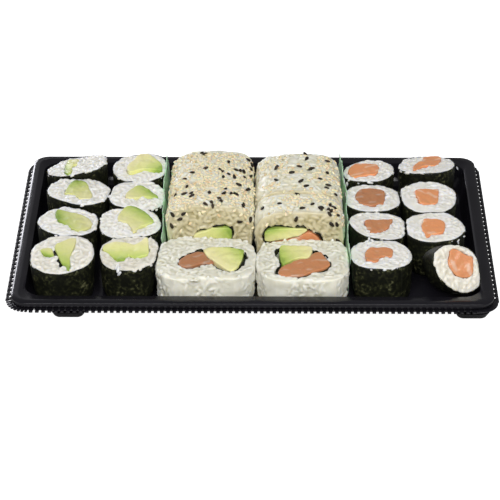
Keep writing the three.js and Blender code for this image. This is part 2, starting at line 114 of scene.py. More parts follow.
# Fillings: kind, outline on the cut face about the roll's middle, heading of the green side (avocado)
# or of the fat lines (salmon) in degrees, and how far the piece stands proud of the rice. The third kind is
# painted shadow: a nori-dark sliver sunk under the slit between two pieces of avocado, where only shade lies.
FILLINGS = {
    "avocado_maki_1": [("avocado", [
        (-3.8, 5.7), (-0.6, 8.2), (5.5, 11.7), (6.3, 9.1), (5.3, 4.4), (4.6, 0.8), (3.9, -2.1), (4.2, -6.3),
        (4.7, -11.2), (3.5, -12.4), (2.7, -9.9), (1.4, -8.1), (0.7, -7.9), (-0.9, -3.4), (-2.9, 2),
    ], 235, 0.7), ("avocado", [
        (-10.6, 2.2), (-8, 4.2), (-4.6, 3.9), (-3.9, 1), (-3.1, -2.2), (-5.8, -1.7), (-7.8, -0.3),
    # Painted shadow: the outline opened below is a nori-dark sliver sunk under the slit between the two avocado
    # pieces.
    ], 250, 0.5), ("gap", [
        (-4.2, 3.4), (-3.2, 3.2), (-0.8, -3.4), (1.4, -8.4), (1.2, -10.4), (-0.2, -8.4), (-2.4, -3),
    ], 0, -0.3)],
    "avocado_maki_2": [("avocado", [
        (-7.2, 6.8), (-5.9, 11.1), (-3.3, 9.7), (1, 7.8), (6.8, 5), (10.3, 0.3), (11.2, -3.5), (9.4, -7.1),
        (6.4, -10.4), (2.6, -8.1), (0.6, -5.8), (-2.9, -1.7), (-5.8, 0.7),
    ], 195, 0.6)],
    "avocado_maki_3": [("avocado", [
        (-7.1, -4.1), (-5.3, 6.3), (-3.2, 10.5), (1.1, 10.1), (3.6, 6.6), (4.6, 0.3), (6.5, -3.8), (6.3, -8.4),
        (5.2, -9), (0.5, -9.1), (-0.3, -7.1), (-2.6, -5), (-5.5, -4.1),
    ], 118, 0.5)],
    "avocado_maki_4": [("avocado", [
        (-6.3, -3), (-5.9, 9.2), (-4, 10.4), (0.6, 7.1), (0.1, 0.7), (-2.7, 0), (-2.4, -6.5), (-2.7, -11),
        (-4.4, -10.8), (-5.7, -7.7),
    ], 190, 0.3)],
    "avocado_maki_5": [("avocado", [
        (-12.9, 3.3), (-11.1, 7.5), (-5.7, 8.5), (-0.7, 6.8), (2.1, 5), (4.5, 7.1), (6.4, 10.5), (8.2, 9.9),
        (8.5, 2.7), (9.2, -2.8), (6.1, -4.1), (1.7, -4.9), (-0.5, -1.9), (-1, -5), (-2.7, -7.5), (-6.4, -4.5),
        (-9.3, -0.6), (-10.8, 1.1),
    ], 262, 0.5)],
    "avocado_maki_6": [("avocado", [
        (-5.9, 2), (-4.7, 7.3), (-2.4, 12.7), (0.5, 14.2), (3.4, 12.8), (7.8, 7.8), (11.3, 1.8), (11.6, -0.8),
        (7.8, -2.7), (4.5, -5.4), (2.7, -9.8), (1.6, -6.4), (-0.1, -1.3), (-2.8, -0.5),
    ], 42, 0.9)],
    "avocado_maki_7": [("avocado", [
        (-6.2, -2.5), (-5.2, 2.3), (-2.4, 6.2), (-0.2, 9.3), (2.2, 8), (4.7, 5.3), (8.1, 1.4), (10.1, -2.2),
        (6.9, -2), (2.7, -1.9), (-0.6, -3.5), (-4.3, -3.8),
    ], 35, 0.5)],
    "avocado_maki_8": [("avocado", [
        (-5.9, -5.2), (-6.6, 0.3), (-3.5, 4.6), (-1.3, 10), (1.9, 11.4), (5.5, 7.7), (10.6, 0.3), (10.8, -5.6),
        (6, -4.3), (1.7, -3.5), (-1.6, -4.7), (-4.4, -6.3),
    ], 320, 1.5)],
    "salmon_maki_1": [("salmon", [
        (-5.4, 5.2), (-2.1, 5.7), (5.6, 6.1), (5.7, -0.9), (4, -2.7), (-0.6, -2), (-1.4, -6.5), (-3.6, -7.4),
        (-6.8, -6.6), (-7.1, -3), (-7.4, 0.6),
    ], 5, 0.2)],
    "salmon_maki_2": [("salmon", [
        (-7.3, 3.5), (-0.3, 4.6), (6.3, 7.4), (6.2, 5.7), (5.1, 1.6), (4.2, -1.9), (1.3, -5), (-1.2, -6.9),
        (-3.6, -8.8), (-4.8, -8.4), (-5.4, -5.7), (-6.7, -3.2),
    ], 8, 0.2)],
    "salmon_maki_3": [("salmon", [
        (-8.6, 1.4), (-5.9, 8.3), (5.7, 8.8), (5.9, 2), (5.4, -5.8), (2.7, -5.9), (0.3, -7.9), (-3.6, -7.1),
        (-6.4, -6.2), (-7.7, -2.4),
    ], 12, 0.3)],
    "salmon_maki_4": [("salmon", [
        (-10, 1.4), (-7.4, 7.6), (-4.1, 8.7), (3.7, 6.7), (5.3, 3.4), (4.6, -1.8), (3.2, -5.2), (-0.7, -5.7),
        (-4.2, -6.2), (-7.1, -7.5), (-8.5, -5.4), (-9.6, -1.7),
    ], 20, 0.5)],
    "salmon_maki_5": [("salmon", [
        (-4.7, 7.1), (5.3, 6), (5, -2.9), (3.9, -5.7), (1, -6.6), (-1.6, -7.1), (-4, -10.8), (-4.6, -9.3),
        (-4.6, -6.6), (-5.9, -4.3), (-5.9, 0.8), (-4.8, 3.5),
    ], 30, 0.3)],
    "salmon_maki_6": [("salmon", [
        (-6.1, 7), (4.6, 6.7), (5.5, 6), (4.9, 0.6), (4.4, -6.1), (2, -6.5), (-0.7, -7.3), (-3.3, -6.4),
        (-4.7, -5.6), (-4.7, -2), (-6, 1.6),
    ], 140, 0.3)],
    "salmon_maki_7": [("salmon", [
        (-0.7, 11.5), (8, 10.9), (7.2, 3.6), (5.1, -2.7), (1.6, -2.9), (-1.8, -3.1), (-4.5, -6.4), (-6.8, -8.2),
        (-6.7, -2.4), (-4.5, 2.3), (-1.3, 5.6),
    ], 60, 0.3)],
    "salmon_maki_8": [("salmon", [
        (-6.8, 5.3), (-6.2, 6.5), (-4.5, 7.4), (-1.8, 7.7), (1.6, 7.8), (3.7, 9.3), (6.6, 5.2), (8.5, 1.5),
        (6.6, -0.5), (3.9, -2.4), (0.5, -2.5), (-3.1, -1), (-4.7, 0.1), (-5.2, 2.5),
    ], 150, 0.3)],
    "uramaki_1": [("avocado", [
        (-1.5, 6.9), (5.6, 8.6), (17.5, 7), (17.3, 1.5), (16.4, -4.1), (14.7, -9.5), (11.8, -11.7), (8.8, -9.5),
        (5.3, -5.2), (1.6, -0.8), (-0.5, 3.6),
    ], 28, 0.5), ("salmon", [
        (-12.6, -4.7), (-10.2, 0.2), (-6.2, 4.1), (-1.5, 5), (-0.3, 3), (1.5, -1.2), (4.3, -4.2), (2.9, -5.7),
        (-1.2, -4.7), (-4.7, -6.9), (-8.2, -8), (-10.6, -7.5),
    ], 20, 0.1)],
    "uramaki_2": [("avocado", [
        (-10.9, 9.4), (-9.8, 11.4), (4, 10.6), (4.2, 6.1), (2.6, 0.6), (-2.7, 0.6), (-6.8, -2.8), (-9.2, -6),
        (-10.4, -2.8), (-11.2, 3.9),
    ], 200, 0.6), ("salmon", [
        (-11.9, -12), (-10.4, -7.1), (-6.8, -4.4), (-2.7, -0.3), (2.2, -0.2), (4, 5), (8.1, 6.2), (9.2, 1.8),
        (12.3, -3.7), (11.3, -6.4), (6.6, -9.8), (1.3, -12.4), (-1.7, -14.2), (-6.9, -14.6), (-10.4, -13.6),
    ], 8, 0.3)],
}
LEFT_LYING = [
    ("avocado", [
        (-7.7, 1.6), (-5, 3.3), (-0.5, 4.3), (1.4, 6), (2.6, 5.2), (9.8, 6), (10.4, 1.7), (9, -3), (0, -3.6),
        (-8, -2.6),
    ], 20, 0.6),
    ("salmon", [
        (-9.4, -3.2), (9.4, -3.8), (8, -9.6), (-6.4, -9.4),
    ], 10, 0.1),
]
RIGHT_LYING = [
    ("avocado", [
        (-15.8, 7.7), (3.3, 8.1), (3.6, 6.4), (0.4, 4.3), (-3.8, 3), (-15.8, 0.5), (-16.1, 3.6),
    ], 110, 0.5),
    ("salmon", [
        (-14, 0), (-3.6, 2.6), (0.6, 4), (4, 6.2), (8, 4), (11, -0.5), (8, -6.4), (-6, -7), (-13, -4.6),
    ], 20, 0.1),
]
for number in (3, 4, 5):
    FILLINGS[f"uramaki_{number}"] = LEFT_LYING
for number in (6, 7, 8):
    FILLINGS[f"uramaki_{number}"] = RIGHT_LYING
# Brightness of the fillings in each roll, and painted shade on the rice of the few rolls listed under rice.
TONES_AND_SHADE = {
    "avocado": {"avocado_maki_1": 0.55, "avocado_maki_2": 0.3, "avocado_maki_3": 0.5, "avocado_maki_5": 1.0,
                "avocado_maki_8": 1.0, "uramaki_1": 1.0, "uramaki_2": 0.8},
    "salmon": {"salmon_maki_1": 0.65, "salmon_maki_2": 0.45, "salmon_maki_3": 0.15, "salmon_maki_4": 1.0,
               "salmon_maki_5": 1.0, "salmon_maki_6": 0.9, "salmon_maki_7": 1.0, "salmon_maki_8": 0.6,
               "uramaki_1": 0.0, "uramaki_2": 0.35},
    "gap": {},
    "rice": {"avocado_maki_1": 0.75, "avocado_maki_5": 0.55, "salmon_maki_8": 0.55},
}
# Where an inside-out roll is cut back or filled out: heading and half width in degrees, and by how much.
SLOPES = {"uramaki_1": [(308, 28, -1.3), (232, 30, -0.9)], "uramaki_2": [(232, 28, -1.3), (308, 30, -0.9)],
          "uramaki_5": [(135, 40, 1.6)], "uramaki_8": [(135, 40, 1.6)]}
# Where the nori of an inside-out roll shows beside its fillings: heading and half width in degrees.
NORI_GAPS = {
    "uramaki_1": [(-4, 24), (132, 10)], "uramaki_2": [(152, 18), (20, 8)], "uramaki_3": [(22, 22), (75, 16)],
    "uramaki_6": [(168, 12), (62, 16), (10, 14)],
}

# The tipped roll: middle of its upper face, and its lean, heading and turn in degrees.
TIPPED_FACE, TIPPED_CUT = (90.9, -52.5, 24.7), 19
TIPPED_LEAN, TIPPED_HEADING, TIPPED_TURN = 57, -74, 47

# Grass film: line along Y, and how far its blades flop over, as (place along the strip, flop).
FILMS = {
    "divider_left": {"front": (-40.7, -26), "back": (-41.2, 54),
                     "flop": [(0, -1.0), (0.15, -1.1), (0.35, -1.2), (0.6, -1.7), (0.85, -1.3), (1, -0.8)]},
    "divider_right": {"front": (43.3, -43), "back": (41.6, 54),
                      "flop": [(0, 0.4), (0.25, 0.7), (0.45, 1.2), (0.62, 1.5), (0.8, 0.8), (1, 0.2)]},
}
FILM_FOOT, FILM_SADDLE, FILM_TIP, FILM_PITCH, FILM_THICKNESS = 4.9, 25.0, 28.4, 5.6, 0.2
# Share of a blade's pitch on its rising edge, and how much shorter than the tip's height a blade may be.
BLADE_RISE, BLADE_UNEVEN = 0.42, 1.5
# The heights where the blades start and end to flop over, and from which height their tips curl back.
FLOP_START, FLOP_END, CURL_START, CURL_SHARE = 17.5, 25.5, 26, 0.16

# Black sesame, as (x, y) at the height of the rolls' tops, seen down a slant from the front.
BLACK_SEEDS_LEFT = [
    (-23, 32.2), (-22.2, 18.1), (-16.2, 16.6), (-15, 15), (-12.1, 24), (-29.1, 13.8), (-6.3, 16.1), (-3, 26.9),
    (-0.9, 22.5), (-11.8, 12.3), (-13.9, 9.8), (-9.3, 9.8), (-6.8, 2.4), (-3.9, 9.2), (-1.4, 11.1), (-1.2, 18),
    (-32.2, 7.5), (-31.2, 0.3), (-12.5, -1.7), (-13.5, -5.9), (-7.9, -6.6), (-10.3, -5.9), (-28.2, -5.8),
    (-28.5, -8.2), (-32, -6.4), (-35.7, -7.6), (-5, -17.7), (-4.8, -15.9), (-2.2, -1.9), (-3.1, -2.5), (-15.7, -10.5),
    (-14.7, -12.9), (-18.9, -14.2), (-21.6, -16), (-18.6, -17.8), (-5.8, -31.3), (-1.4, -29.5), (-32.1, -24.4),
    (-33.7, -29.1), (-37.2, -35), (-36.8, -25), (-24.9, 33.2), (-8.2, 16.7), (-4.5, 14.8), (-20.6, -5.1),
]
BLACK_SEEDS_RIGHT = [
    (24.5, 32.5), (24.9, 27.7), (21.4, 20), (10.8, 19.1), (18.2, 14.3), (26.6, 16.9), (27.6, 18.2), (10.6, 6.8),
    (22.2, 5.9), (31.3, 7.9), (24.3, 1.3), (35.3, 25.2), (34.9, 13.8), (34.9, 2), (20.5, -6.4), (38.2, -6.3),
    (12.1, -15.2), (4.3, -19.4), (26.9, -15.7), (22.8, -19.3), (30.6, -19.8), (31.2, -18.7), (35.2, -16.2),
    (34.2, -20.4), (35.6, -21.6), (37.2, -18.6), (35, -24.6), (39, -25.7), (35.7, -33.4), (38.2, -33.4), (20, -28.8),
    (39, -48), (34, -0.5),
]
# Patches of toasted sesame on the right-hand rolls, as (x, y, radius).
TOASTED_PATCHES = [
    (15.2, 17.5, 2.6), (13.4, 20.6, 2.2), (9.1, 1.8, 3), (18.7, -12.7, 4.2), (16.9, -11.5, 3.4), (32.6, -9, 5),
    (33.9, -4.1, 3.6), (34.4, 20.8, 5), (36, 9.4, 4.2), (34, 29.7, 3.6), (25.3, -12.7, 3), (14, 25.7, 2.4),
    (29.9, 10.7, 2.6), (36.7, -13.8, 3.6), (15, -21.1, 2.4), (4.7, 25.7, 1.8), (38.5, -21, 3.4),
]
# Where toasted sesame is tried: reach along X and along Y, whether on the left rolls, and how often.
TOASTED_FIELDS = [((-41, 0.6), (-28, 36), True, 5200), ((0.8, 42), (-26, 36), False, 4200)]
SLANT = (0.0, 0.859, -0.512)
SEED_LEVEL = 36.3
# From how far outside rays are sent onto a surface.
RAY_START = 60
# Loose grains of rice, as (x, y) at the height LOOSE_LEVEL, seen down the same slant, and their heading.
LOOSE_GRAINS = [
    (-61, -51.1, 80), (-60.4, -53.6, 100), (-59.9, -56.6, 70), (-60.2, -52, 20), (52.1, -28.5, 60),
    (53.3, -26.3, 110), (54.6, -28.1, 150), (51.5, -32.1, 80), (52.8, -23.2, 30), (43.6, 28.1, 100),
    (44.9, 25.2, 60), (46, 29.6, 80), (97.5, 44.7, 40), (100, 42.2, 120), (94, -26.9, 70), (97, -23.3, 20),
    (94.1, -29.1, 140), (52.9, -19.6, 10),
]
LOOSE_LEVEL = 24.0

# Rice: how deep the core lies under the cut faces, how deep the wells of the fillings are, how many places are
# tried for each grain that fits, how often a grain is turned until it fits, and the rounds of blurring and the
# depth that make a crease, where the rice materials paint shade.
BURY, WELL, PLACES_TRIED, TURNS_TRIED = 0.3, 4.5, 7, 9
CREASE_SHADE_ROUNDS, CREASE_SHADE_DEPTH = 6, 0.3
# Fillings: size at which they are melted soft, and how far they end inside the far cut face.
FILLING_VOXEL, FILLING_END = 0.45, 0.2
# Nori: thickness of the sheet, how far it winds inwards in one turn, and how far it laps over, in radians.
NORI_THICKNESS, NORI_WIND, NORI_LAP = 0.22, 0.34, 0.3

# Camera: pitch and yaw in degrees, distance and height of its aim in metres, and its focal length and shift in
# widths of the picture.
CAMERA_PITCH, CAMERA_YAW, CAMERA_DISTANCE, CAMERA_AIM = 30.8, 0.36, 1.108, 0.010
CAMERA_FOCAL, CAMERA_SHIFT, CAMERA_SENSOR = 4.708, (-0.0068, -0.028), 36
# Lights: name, place, size, watts and colour.
LIGHTS = [
    ("key", (0.02, -0.84, 0.88), (1.0, 0.6), 14.3, (1, 1, 1)),
    ("left_strip", (-0.68, 1.29, 0.33), (0.5, 0.35), 6, (0.93, 0.93, 1)),
    ("back_panel", (-0.33, 1.35, 0.75), (0.36, 0.4), 0.15, (0.93, 0.93, 1)),
]


# ---- Settings -----------------------------------------------------------------------------------
def size_setting(name, description, default):
    return bpy.props.FloatProperty(name=name, description=description, default=default, unit="LENGTH", precision=5)


def colour_setting(name, description, default):
    return bpy.props.FloatVectorProperty(
        name=name, description=description, default=default, subtype="COLOR", size=3, min=0, max=1
    )


class SushiTraySettings(bpy.types.PropertyGroup):
    plastic: colour_setting("Plastic", "Colour of the formed tray", (0.0075, 0.007, 0.0095))
    gloss: bpy.props.FloatProperty(name="Roughness", description="Roughness of the tray's plastic", default=0.17)
    edge: size_setting("Edge", "Rounding of the tray's folds", 0.22 * MM)
    film: colour_setting("Film", "Colour of the grass film", (0.46, 0.98, 0.48))


class SushiRiceSettings(bpy.types.PropertyGroup):
    grain_length: size_setting("Grain length", "Length of a cooked grain", 4.7 * MM)
    grain_width: size_setting("Grain width", "Width of a cooked grain", 2.1 * MM)
    spacing: size_setting("Spacing", "Least distance between two grains", 1.6 * MM)
    voxel: size_setting("Melt", "Size at which neighbouring grains melt together", 0.4 * MM)
    lump: size_setting("Lumps", "Unevenness of the pressed rice under the grains", 0.4 * MM)
    white: colour_setting("Rice", "Rice of the thin rolls", (0.885, 0.865, 0.835))
    warm: colour_setting("Warm rice", "Rice of the inside-out rolls", (0.80, 0.785, 0.70))
    golden: colour_setting("Golden rice", "Rice under the sesame", (0.885, 0.865, 0.75))
    nori: colour_setting("Nori", "Colour of the seaweed", (0.0045, 0.0052, 0.0022))


class SushiFillingSettings(bpy.types.PropertyGroup):
    avocado_heart: colour_setting("Avocado heart", "Avocado near the stone", (0.93, 0.86, 0.48))
    avocado_skin: colour_setting("Avocado edge", "Avocado near the skin", (0.32, 0.46, 0.08))
    salmon: colour_setting("Salmon", "Colour of the salmon", (0.82, 0.34, 0.145))
    salmon_fat: colour_setting("Salmon fat", "Lines of fat in the salmon", (0.88, 0.52, 0.34))


class SushiSesameSettings(bpy.types.PropertyGroup):
    seed_length: size_setting("Seed length", "Length of a toasted sesame seed", 2.5 * MM)
    black_length: size_setting("Black seed length", "Length of a black sesame seed", 3.1 * MM)
    spacing: size_setting("Spacing", "Least distance between two toasted seeds", 1.35 * MM)
    toasted: colour_setting("Toasted", "Colour of the toasted seeds", (0.84, 0.74, 0.50))
    black: colour_setting("Black", "Colour of the black seeds", (0.02, 0.014, 0.008))


class SushiStageSettings(bpy.types.PropertyGroup):
    floor: colour_setting("Floor", "Colour of the floor", (0.6, 0.6, 0.6))


# ---- Meshes -------------------------------------------------------------------------------------
def deselect():
    if bpy.context.object is not None and bpy.context.object.mode != "OBJECT":
        bpy.ops.object.mode_set(mode="OBJECT")
    bpy.ops.object.select_all(action="DESELECT")


def make_active(obj):
    deselect()
    obj.select_set(True)
    bpy.context.view_layer.objects.active = obj


def edit_all():
    """Enters edit mode with everything selected."""
    bpy.ops.object.mode_set(mode="EDIT")
    bpy.ops.mesh.select_all(action="SELECT")


def leave_edit_outwards():
    """Turns every face outwards and leaves edit mode."""
    bpy.ops.mesh.select_all(action="SELECT")
    bpy.ops.mesh.normals_make_consistent(inside=False)
    bpy.ops.object.mode_set(mode="OBJECT")


def object_from_arrays(name, points, faces):
    """An object from points in millimetres and faces of point numbers."""
    mesh = bpy.data.meshes.new(name)
    mesh.from_pydata((np.asarray(points) * MM).tolist(), [], [list(f) for f in faces])
    mesh.update()
    obj = bpy.data.objects.new(name, mesh)
    bpy.context.scene.collection.objects.link(obj)
    make_active(obj)
    return obj


def points_of(obj):
    """An object's points in millimetres."""
    flat = np.zeros(len(obj.data.vertices) * 3, np.float32)
    obj.data.vertices.foreach_get("co", flat)
    return flat.reshape(-1, 3).astype(float) / MM


def set_points(obj, points):
    obj.data.vertices.foreach_set("co", (points * MM).astype(np.float32).ravel())
    obj.data.update()


def apply_modifier(obj, kind, **values):
    make_active(obj)
    modifier = obj.modifiers.new(kind.title(), kind)
    for key, value in values.items():
        setattr(modifier, key, value)
    bpy.ops.object.modifier_apply(modifier=modifier.name)


def melt(obj, voxel, rounds, factor):
    """Melts overlapping bodies into one skin and softens it."""
    make_active(obj)
    obj.data.remesh_voxel_size = voxel
    bpy.ops.object.voxel_remesh()
    apply_modifier(obj, "SMOOTH", factor=factor, iterations=rounds)


def finish_piece(obj, material, slot, *nodes, smooth=True):
    """Gives a finished piece its material and its place on the frame."""
    if smooth:
        make_active(obj)
        bpy.ops.object.shade_smooth()
    obj.data.materials.clear()
    obj.data.materials.append(bpy.data.materials[material])
    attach(obj, "root")
    if nodes:
        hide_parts(*nodes)


def set_values(obj, name, values):
    """A named value for every point, which the materials read."""
    obj.data.attributes.new(name, "FLOAT", "POINT").data.foreach_set("value", np.asarray(values, np.float32))


def loft(rings, start, end):
    """Points and faces of a closed body through rings of equal length, closed by two end points."""
    count = len(rings[0])
    faces = []
    for ring in range(len(rings) - 1):
        for i in range(count):
            j = (i + 1) % count
            low, high = ring * count, (ring + 1) * count
            faces.append((low + i, low + j, high + j, high + i))
    points = np.vstack([*rings, start, end])
    first, last = len(points) - 2, len(points) - 1
    top = (len(rings) - 1) * count
    for i in range(count):
        j = (i + 1) % count
        faces.append((first, j, i))
        faces.append((last, top + i, top + j))
    return points, faces


def copies(model_points, model_faces, places):
    """One mesh of many copies: each place is a middle and a 3 x 3 matrix whose columns are the axes."""
    count = len(model_points)
    points = np.vstack([middle + model_points @ axes.T for middle, axes in places])
    faces = [[v + k * count for v in f] for k in range(len(places)) for f in model_faces]
    return points, faces


def joined(parts):
    points, faces, base = [], [], 0
    for part_points, part_faces in parts:
        points.append(part_points)
        faces.extend([[v + base for v in f] for f in part_faces])
        base += len(part_points)
    return np.vstack(points), faces


def join_objects(objects):
    """Joins objects into the first one."""
    deselect()
    for obj in objects:
        obj.select_set(True)
    bpy.context.view_layer.objects.active = objects[0]
    bpy.ops.object.join()
    return objects[0]


def take_model(obj):
    """A modelled shape's points in millimetres and its faces; the object itself is removed."""
    points = points_of(obj)
    faces = [tuple(p.vertices) for p in obj.data.polygons]
    bpy.data.objects.remove(obj)
    return points, faces


def ball_model(rings, size):
    """A ball drawn out to a size in metres along X, Y and Z, as points in millimetres and faces."""
    deselect()
    bpy.ops.mesh.primitive_uv_sphere_add(segments=8, ring_count=rings, radius=0.5, location=(0, 0, 0))
    obj = bpy.context.active_object
    edit_all()
    bpy.ops.transform.resize(value=size)
    bpy.ops.object.mode_set(mode="OBJECT")
    return take_model(obj)


def cloud(x, y, z):
    """A smooth random value from -1 to 1."""
    return noise.noise(Vector((x, y, z)))


# ---- Outlines -----------------------------------------------------------------------------------
def rounded(outline, rounds=2):
    """Cuts an outline's corners until it is smooth."""
    line = np.array(outline, float)
    for _ in range(rounds):
        after = np.roll(line, -1, axis=0)
        line = np.stack([line * 0.75 + after * 0.25, line * 0.25 + after * 0.75], 1).reshape(-1, 2)
    return line


def towards(angle):
    """A step of length 1 on a plane."""
    return np.array([math.cos(angle), math.sin(angle)])


def degrees_off(degrees, heading):
    """How far directions lie from a heading, whichever way round is shorter."""
    return np.abs((degrees - heading + 180) % 360 - 180)


def runs_left(outline):
    """True if an outline runs anticlockwise."""
    after = np.roll(outline, -1, axis=0)
    return np.sum(outline[:, 0] * after[:, 1] - after[:, 0] * outline[:, 1]) > 0


def grown(outline, margin):
    """An outline moved outwards along its own normals."""
    along = np.roll(outline, -1, axis=0) - np.roll(outline, 1, axis=0)
    along /= np.linalg.norm(along, axis=1)[:, None] + 1e-9
    side = 1 if runs_left(outline) else -1
    return outline + side * margin * np.stack([along[:, 1], -along[:, 0]], 1)


def inside(outline, u, v):
    """True where the points (u, v) lie in the outline."""
    u, v = np.atleast_1d(u), np.atleast_1d(v)
    found = np.zeros(len(u), bool)
    for (x0, y0), (x1, y1) in zip(outline, np.roll(outline, -1, axis=0)):
        crosses = (y0 > v) != (y1 > v)
        at = x0 + (v - y0) * (x1 - x0) / (y1 - y0 + 1e-12)
        found ^= crosses & (u < at)
    return found


def wrapped(outlines, margin, count=72):
    """A closed line laid round several outlines, seen from their common middle."""
    middle = np.vstack(outlines).mean(0)
    angles = np.arange(count) / count * 2 * math.pi
    reach = np.zeros(count)
    for line in outlines:
        for p, q in zip(line, np.roll(line, -1, axis=0)):
            p, e = p - middle, q - p
            for k, angle in enumerate(angles):
                d = towards(angle)
                det = d[0] * -e[1] + d[1] * e[0]
                if abs(det) < 1e-9:
                    continue
                far = (p[0] * -e[1] + p[1] * e[0]) / det
                part = (d[0] * p[1] - d[1] * p[0]) / det
                if far > 0 and -0.01 <= part <= 1.01:
                    reach[k] = max(reach[k], far)
    wide = np.maximum.reduce([np.roll(reach, s) for s in (-2, -1, 0, 1, 2)])
    soft = sum(np.roll(wide, s) for s in (-2, -1, 0, 1, 2)) / 5 + margin
    return middle + np.stack([soft * np.cos(angles), soft * np.sin(angles)], 1)


# ---- Rolls as felt from the frame ---------------------------------------------------------------
ANGLES = np.arange(96) / 96 * 2 * math.pi
DEPTHS = np.array([0.08, 0.2, 0.4, 0.6, 0.8, 0.92])


class Roll:
    """A roll's CAD solid: its two cut faces, and its reach from its axis to its side, felt with rays."""

    def __init__(self, node, axis, right, up, middle=None):
        mesh = frame["nodes"][node].data
        corners = [tuple(Vector(v.co) / MM) for v in mesh.vertices]
        self.tree = BVHTree.FromPolygons(corners, [tuple(p.vertices) for p in mesh.polygons])
        low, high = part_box(node)
        self.node = node
        self.middle = np.array((low + high) / 2) / MM if middle is None else np.array(middle, float)
        self.axis, self.right, self.up = (np.array(a, float) for a in (axis, right, up))
        self.near = self.cut_face(1)
        self.far = self.cut_face(-1)
        self.length = float((self.near[0] - self.far[0]) @ self.axis)
        self.table = np.array([[self.feel(angle, t) for angle in ANGLES] for t in DEPTHS])

    def cut_face(self, side):
        """The plane of a cut face: its middle, and its slanted right and up directions."""
        rows, heights = [], []
        for u in (-5, -2.5, 0, 2.5, 5):
            for v in (-5, -2.5, 0, 2.5, 5):
                start = self.middle + self.right * u + self.up * v + self.axis * side * RAY_START
                place = self.tree.ray_cast(Vector(start), Vector(-self.axis * side))[0]
                rows.append((1, u, v))
                heights.append((np.array(place) - self.middle) @ self.axis)
        level, slope_right, slope_up = np.linalg.lstsq(np.array(rows), np.array(heights), rcond=None)[0]
        return self.middle + self.axis * level, self.right + self.axis * slope_right, self.up + self.axis * slope_up

    def place(self, u, v, t, out=0.0):
        """Points at u and v across the section, t from the near face to the far one, and out along the axis."""
        u, v, t, out = (np.asarray(a, float)[..., None] for a in (u, v, t, out))
        near = self.near[0] + self.near[1] * u + self.near[2] * v
        far = self.far[0] + self.far[1] * u + self.far[2] * v
        return near * (1 - t) + far * t + self.axis * out

    def feel(self, angle, t):
        start = self.place(0, 0, t)
        side = self.place(math.cos(angle), math.sin(angle), t) - start
        place = self.tree.ray_cast(Vector(start), Vector(side))[0]
        return float(np.linalg.norm(np.array(place) - start) / np.linalg.norm(side))

    def reach(self, t):
        """Distances from the axis to the side, one for each of ANGLES."""
        t = min(max(t, DEPTHS[0]), DEPTHS[-1])
        k = min(int(np.searchsorted(DEPTHS, t, side="right")) - 1, len(DEPTHS) - 2)
        part = (t - DEPTHS[k]) / (DEPTHS[k + 1] - DEPTHS[k])
        return self.table[k] * (1 - part) + self.table[k + 1] * part

    def ring(self, t, inset):
        far = self.reach(t) - inset
        return self.place(far * np.cos(ANGLES), far * np.sin(ANGLES), t)

    def across(self, points):
        """The (u, v) of points in space, on the section."""
        away = points - self.middle
        return away @ self.right, away @ self.up

    def proud(self, point):
        """How far a point stands out of the solid."""
        place, normal, _, _ = self.tree.find_nearest(Vector(point))
        return (Vector(point) - place).dot(normal)


def turned(degrees):
    """A turn about Z."""
    x, y = towards(math.radians(degrees))
    return np.array([[x, -y, 0], [y, x, 0], [0, 0, 1]])


def roll_of(node):
    """A node's roll. The tipped one leans, the ones with a middle stand, and the rest lie along Y."""
    if node == "salmon_maki_8":
        x, z = towards(math.radians(TIPPED_LEAN))
        tip = np.array([[x, 0, z], [0, 1, 0], [-z, 0, x]])
        right, up, axis = (turned(TIPPED_HEADING) @ tip @ turned(TIPPED_TURN)).T
        return Roll(node, axis, right, up, np.array(TIPPED_FACE) - axis * TIPPED_CUT / 2)
    if node in MIDDLES:
        low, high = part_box(node)
        middle = (*MIDDLES[node], (low.z + high.z) / 2 / MM)
        return Roll(node, (0, 0, 1), (1, 0, 0), (0, 1, 0), middle)
    return Roll(node, (0, -1, 0), (1, 0, 0), (0, 0, 1))


def above_face(roll, points):
    """How far points lie above the near cut face, and their (u, v) on the section."""
    u, v = roll.across(points)
    return (points - roll.place(u, v, 0)) @ roll.axis, u, v


def set_crease_shade(obj):
    """How deep every point lies between its neighbours, from 0 on a ridge to 1 in a crease, for the materials, which
    paint shade into the creases and a highlight onto the ridges.
    """
    mesh = obj.data
    ends = np.zeros(len(mesh.edges) * 2, np.int32)
    mesh.edges.foreach_get("vertices", ends)
    a, b = ends.reshape(-1, 2).T
    count = len(mesh.vertices)
    share = np.bincount(a, minlength=count) + np.bincount(b, minlength=count)

    def blurred(values):
        total = np.bincount(a, values[b], count) + np.bincount(b, values[a], count)
        return total / np.maximum(share, 1)

    points = points_of(obj)
    wide = points.copy()
    for _ in range(CREASE_SHADE_ROUNDS):
        wide = np.stack([blurred(wide[:, axis]) for axis in range(3)], 1)
    normals = np.zeros(count * 3, np.float32)
    mesh.vertices.foreach_get("normal", normals)
    depth = np.sum((wide - points) * normals.reshape(-1, 3), axis=1)
    set_values(obj, "hollow", np.clip(0.5 + blurred(blurred(depth)) / CREASE_SHADE_DEPTH, 0, 1))


# ---- Rice ---------------------------------------------------------------------------------------
def grain_model(settings):
    """A cooked grain along X: a slightly bent ball with blunt ends."""
    length, width = settings.grain_length, settings.grain_width
    points, faces = ball_model(6, (length, width, width * 0.86))
    points[:, 0] *= 1 + 0.12 * (1 - (points[:, 0] / length * MM * 2) ** 2)
    points[:, 2] += 0.05 * points[:, 0] ** 2 / (length / MM)
    return points, faces


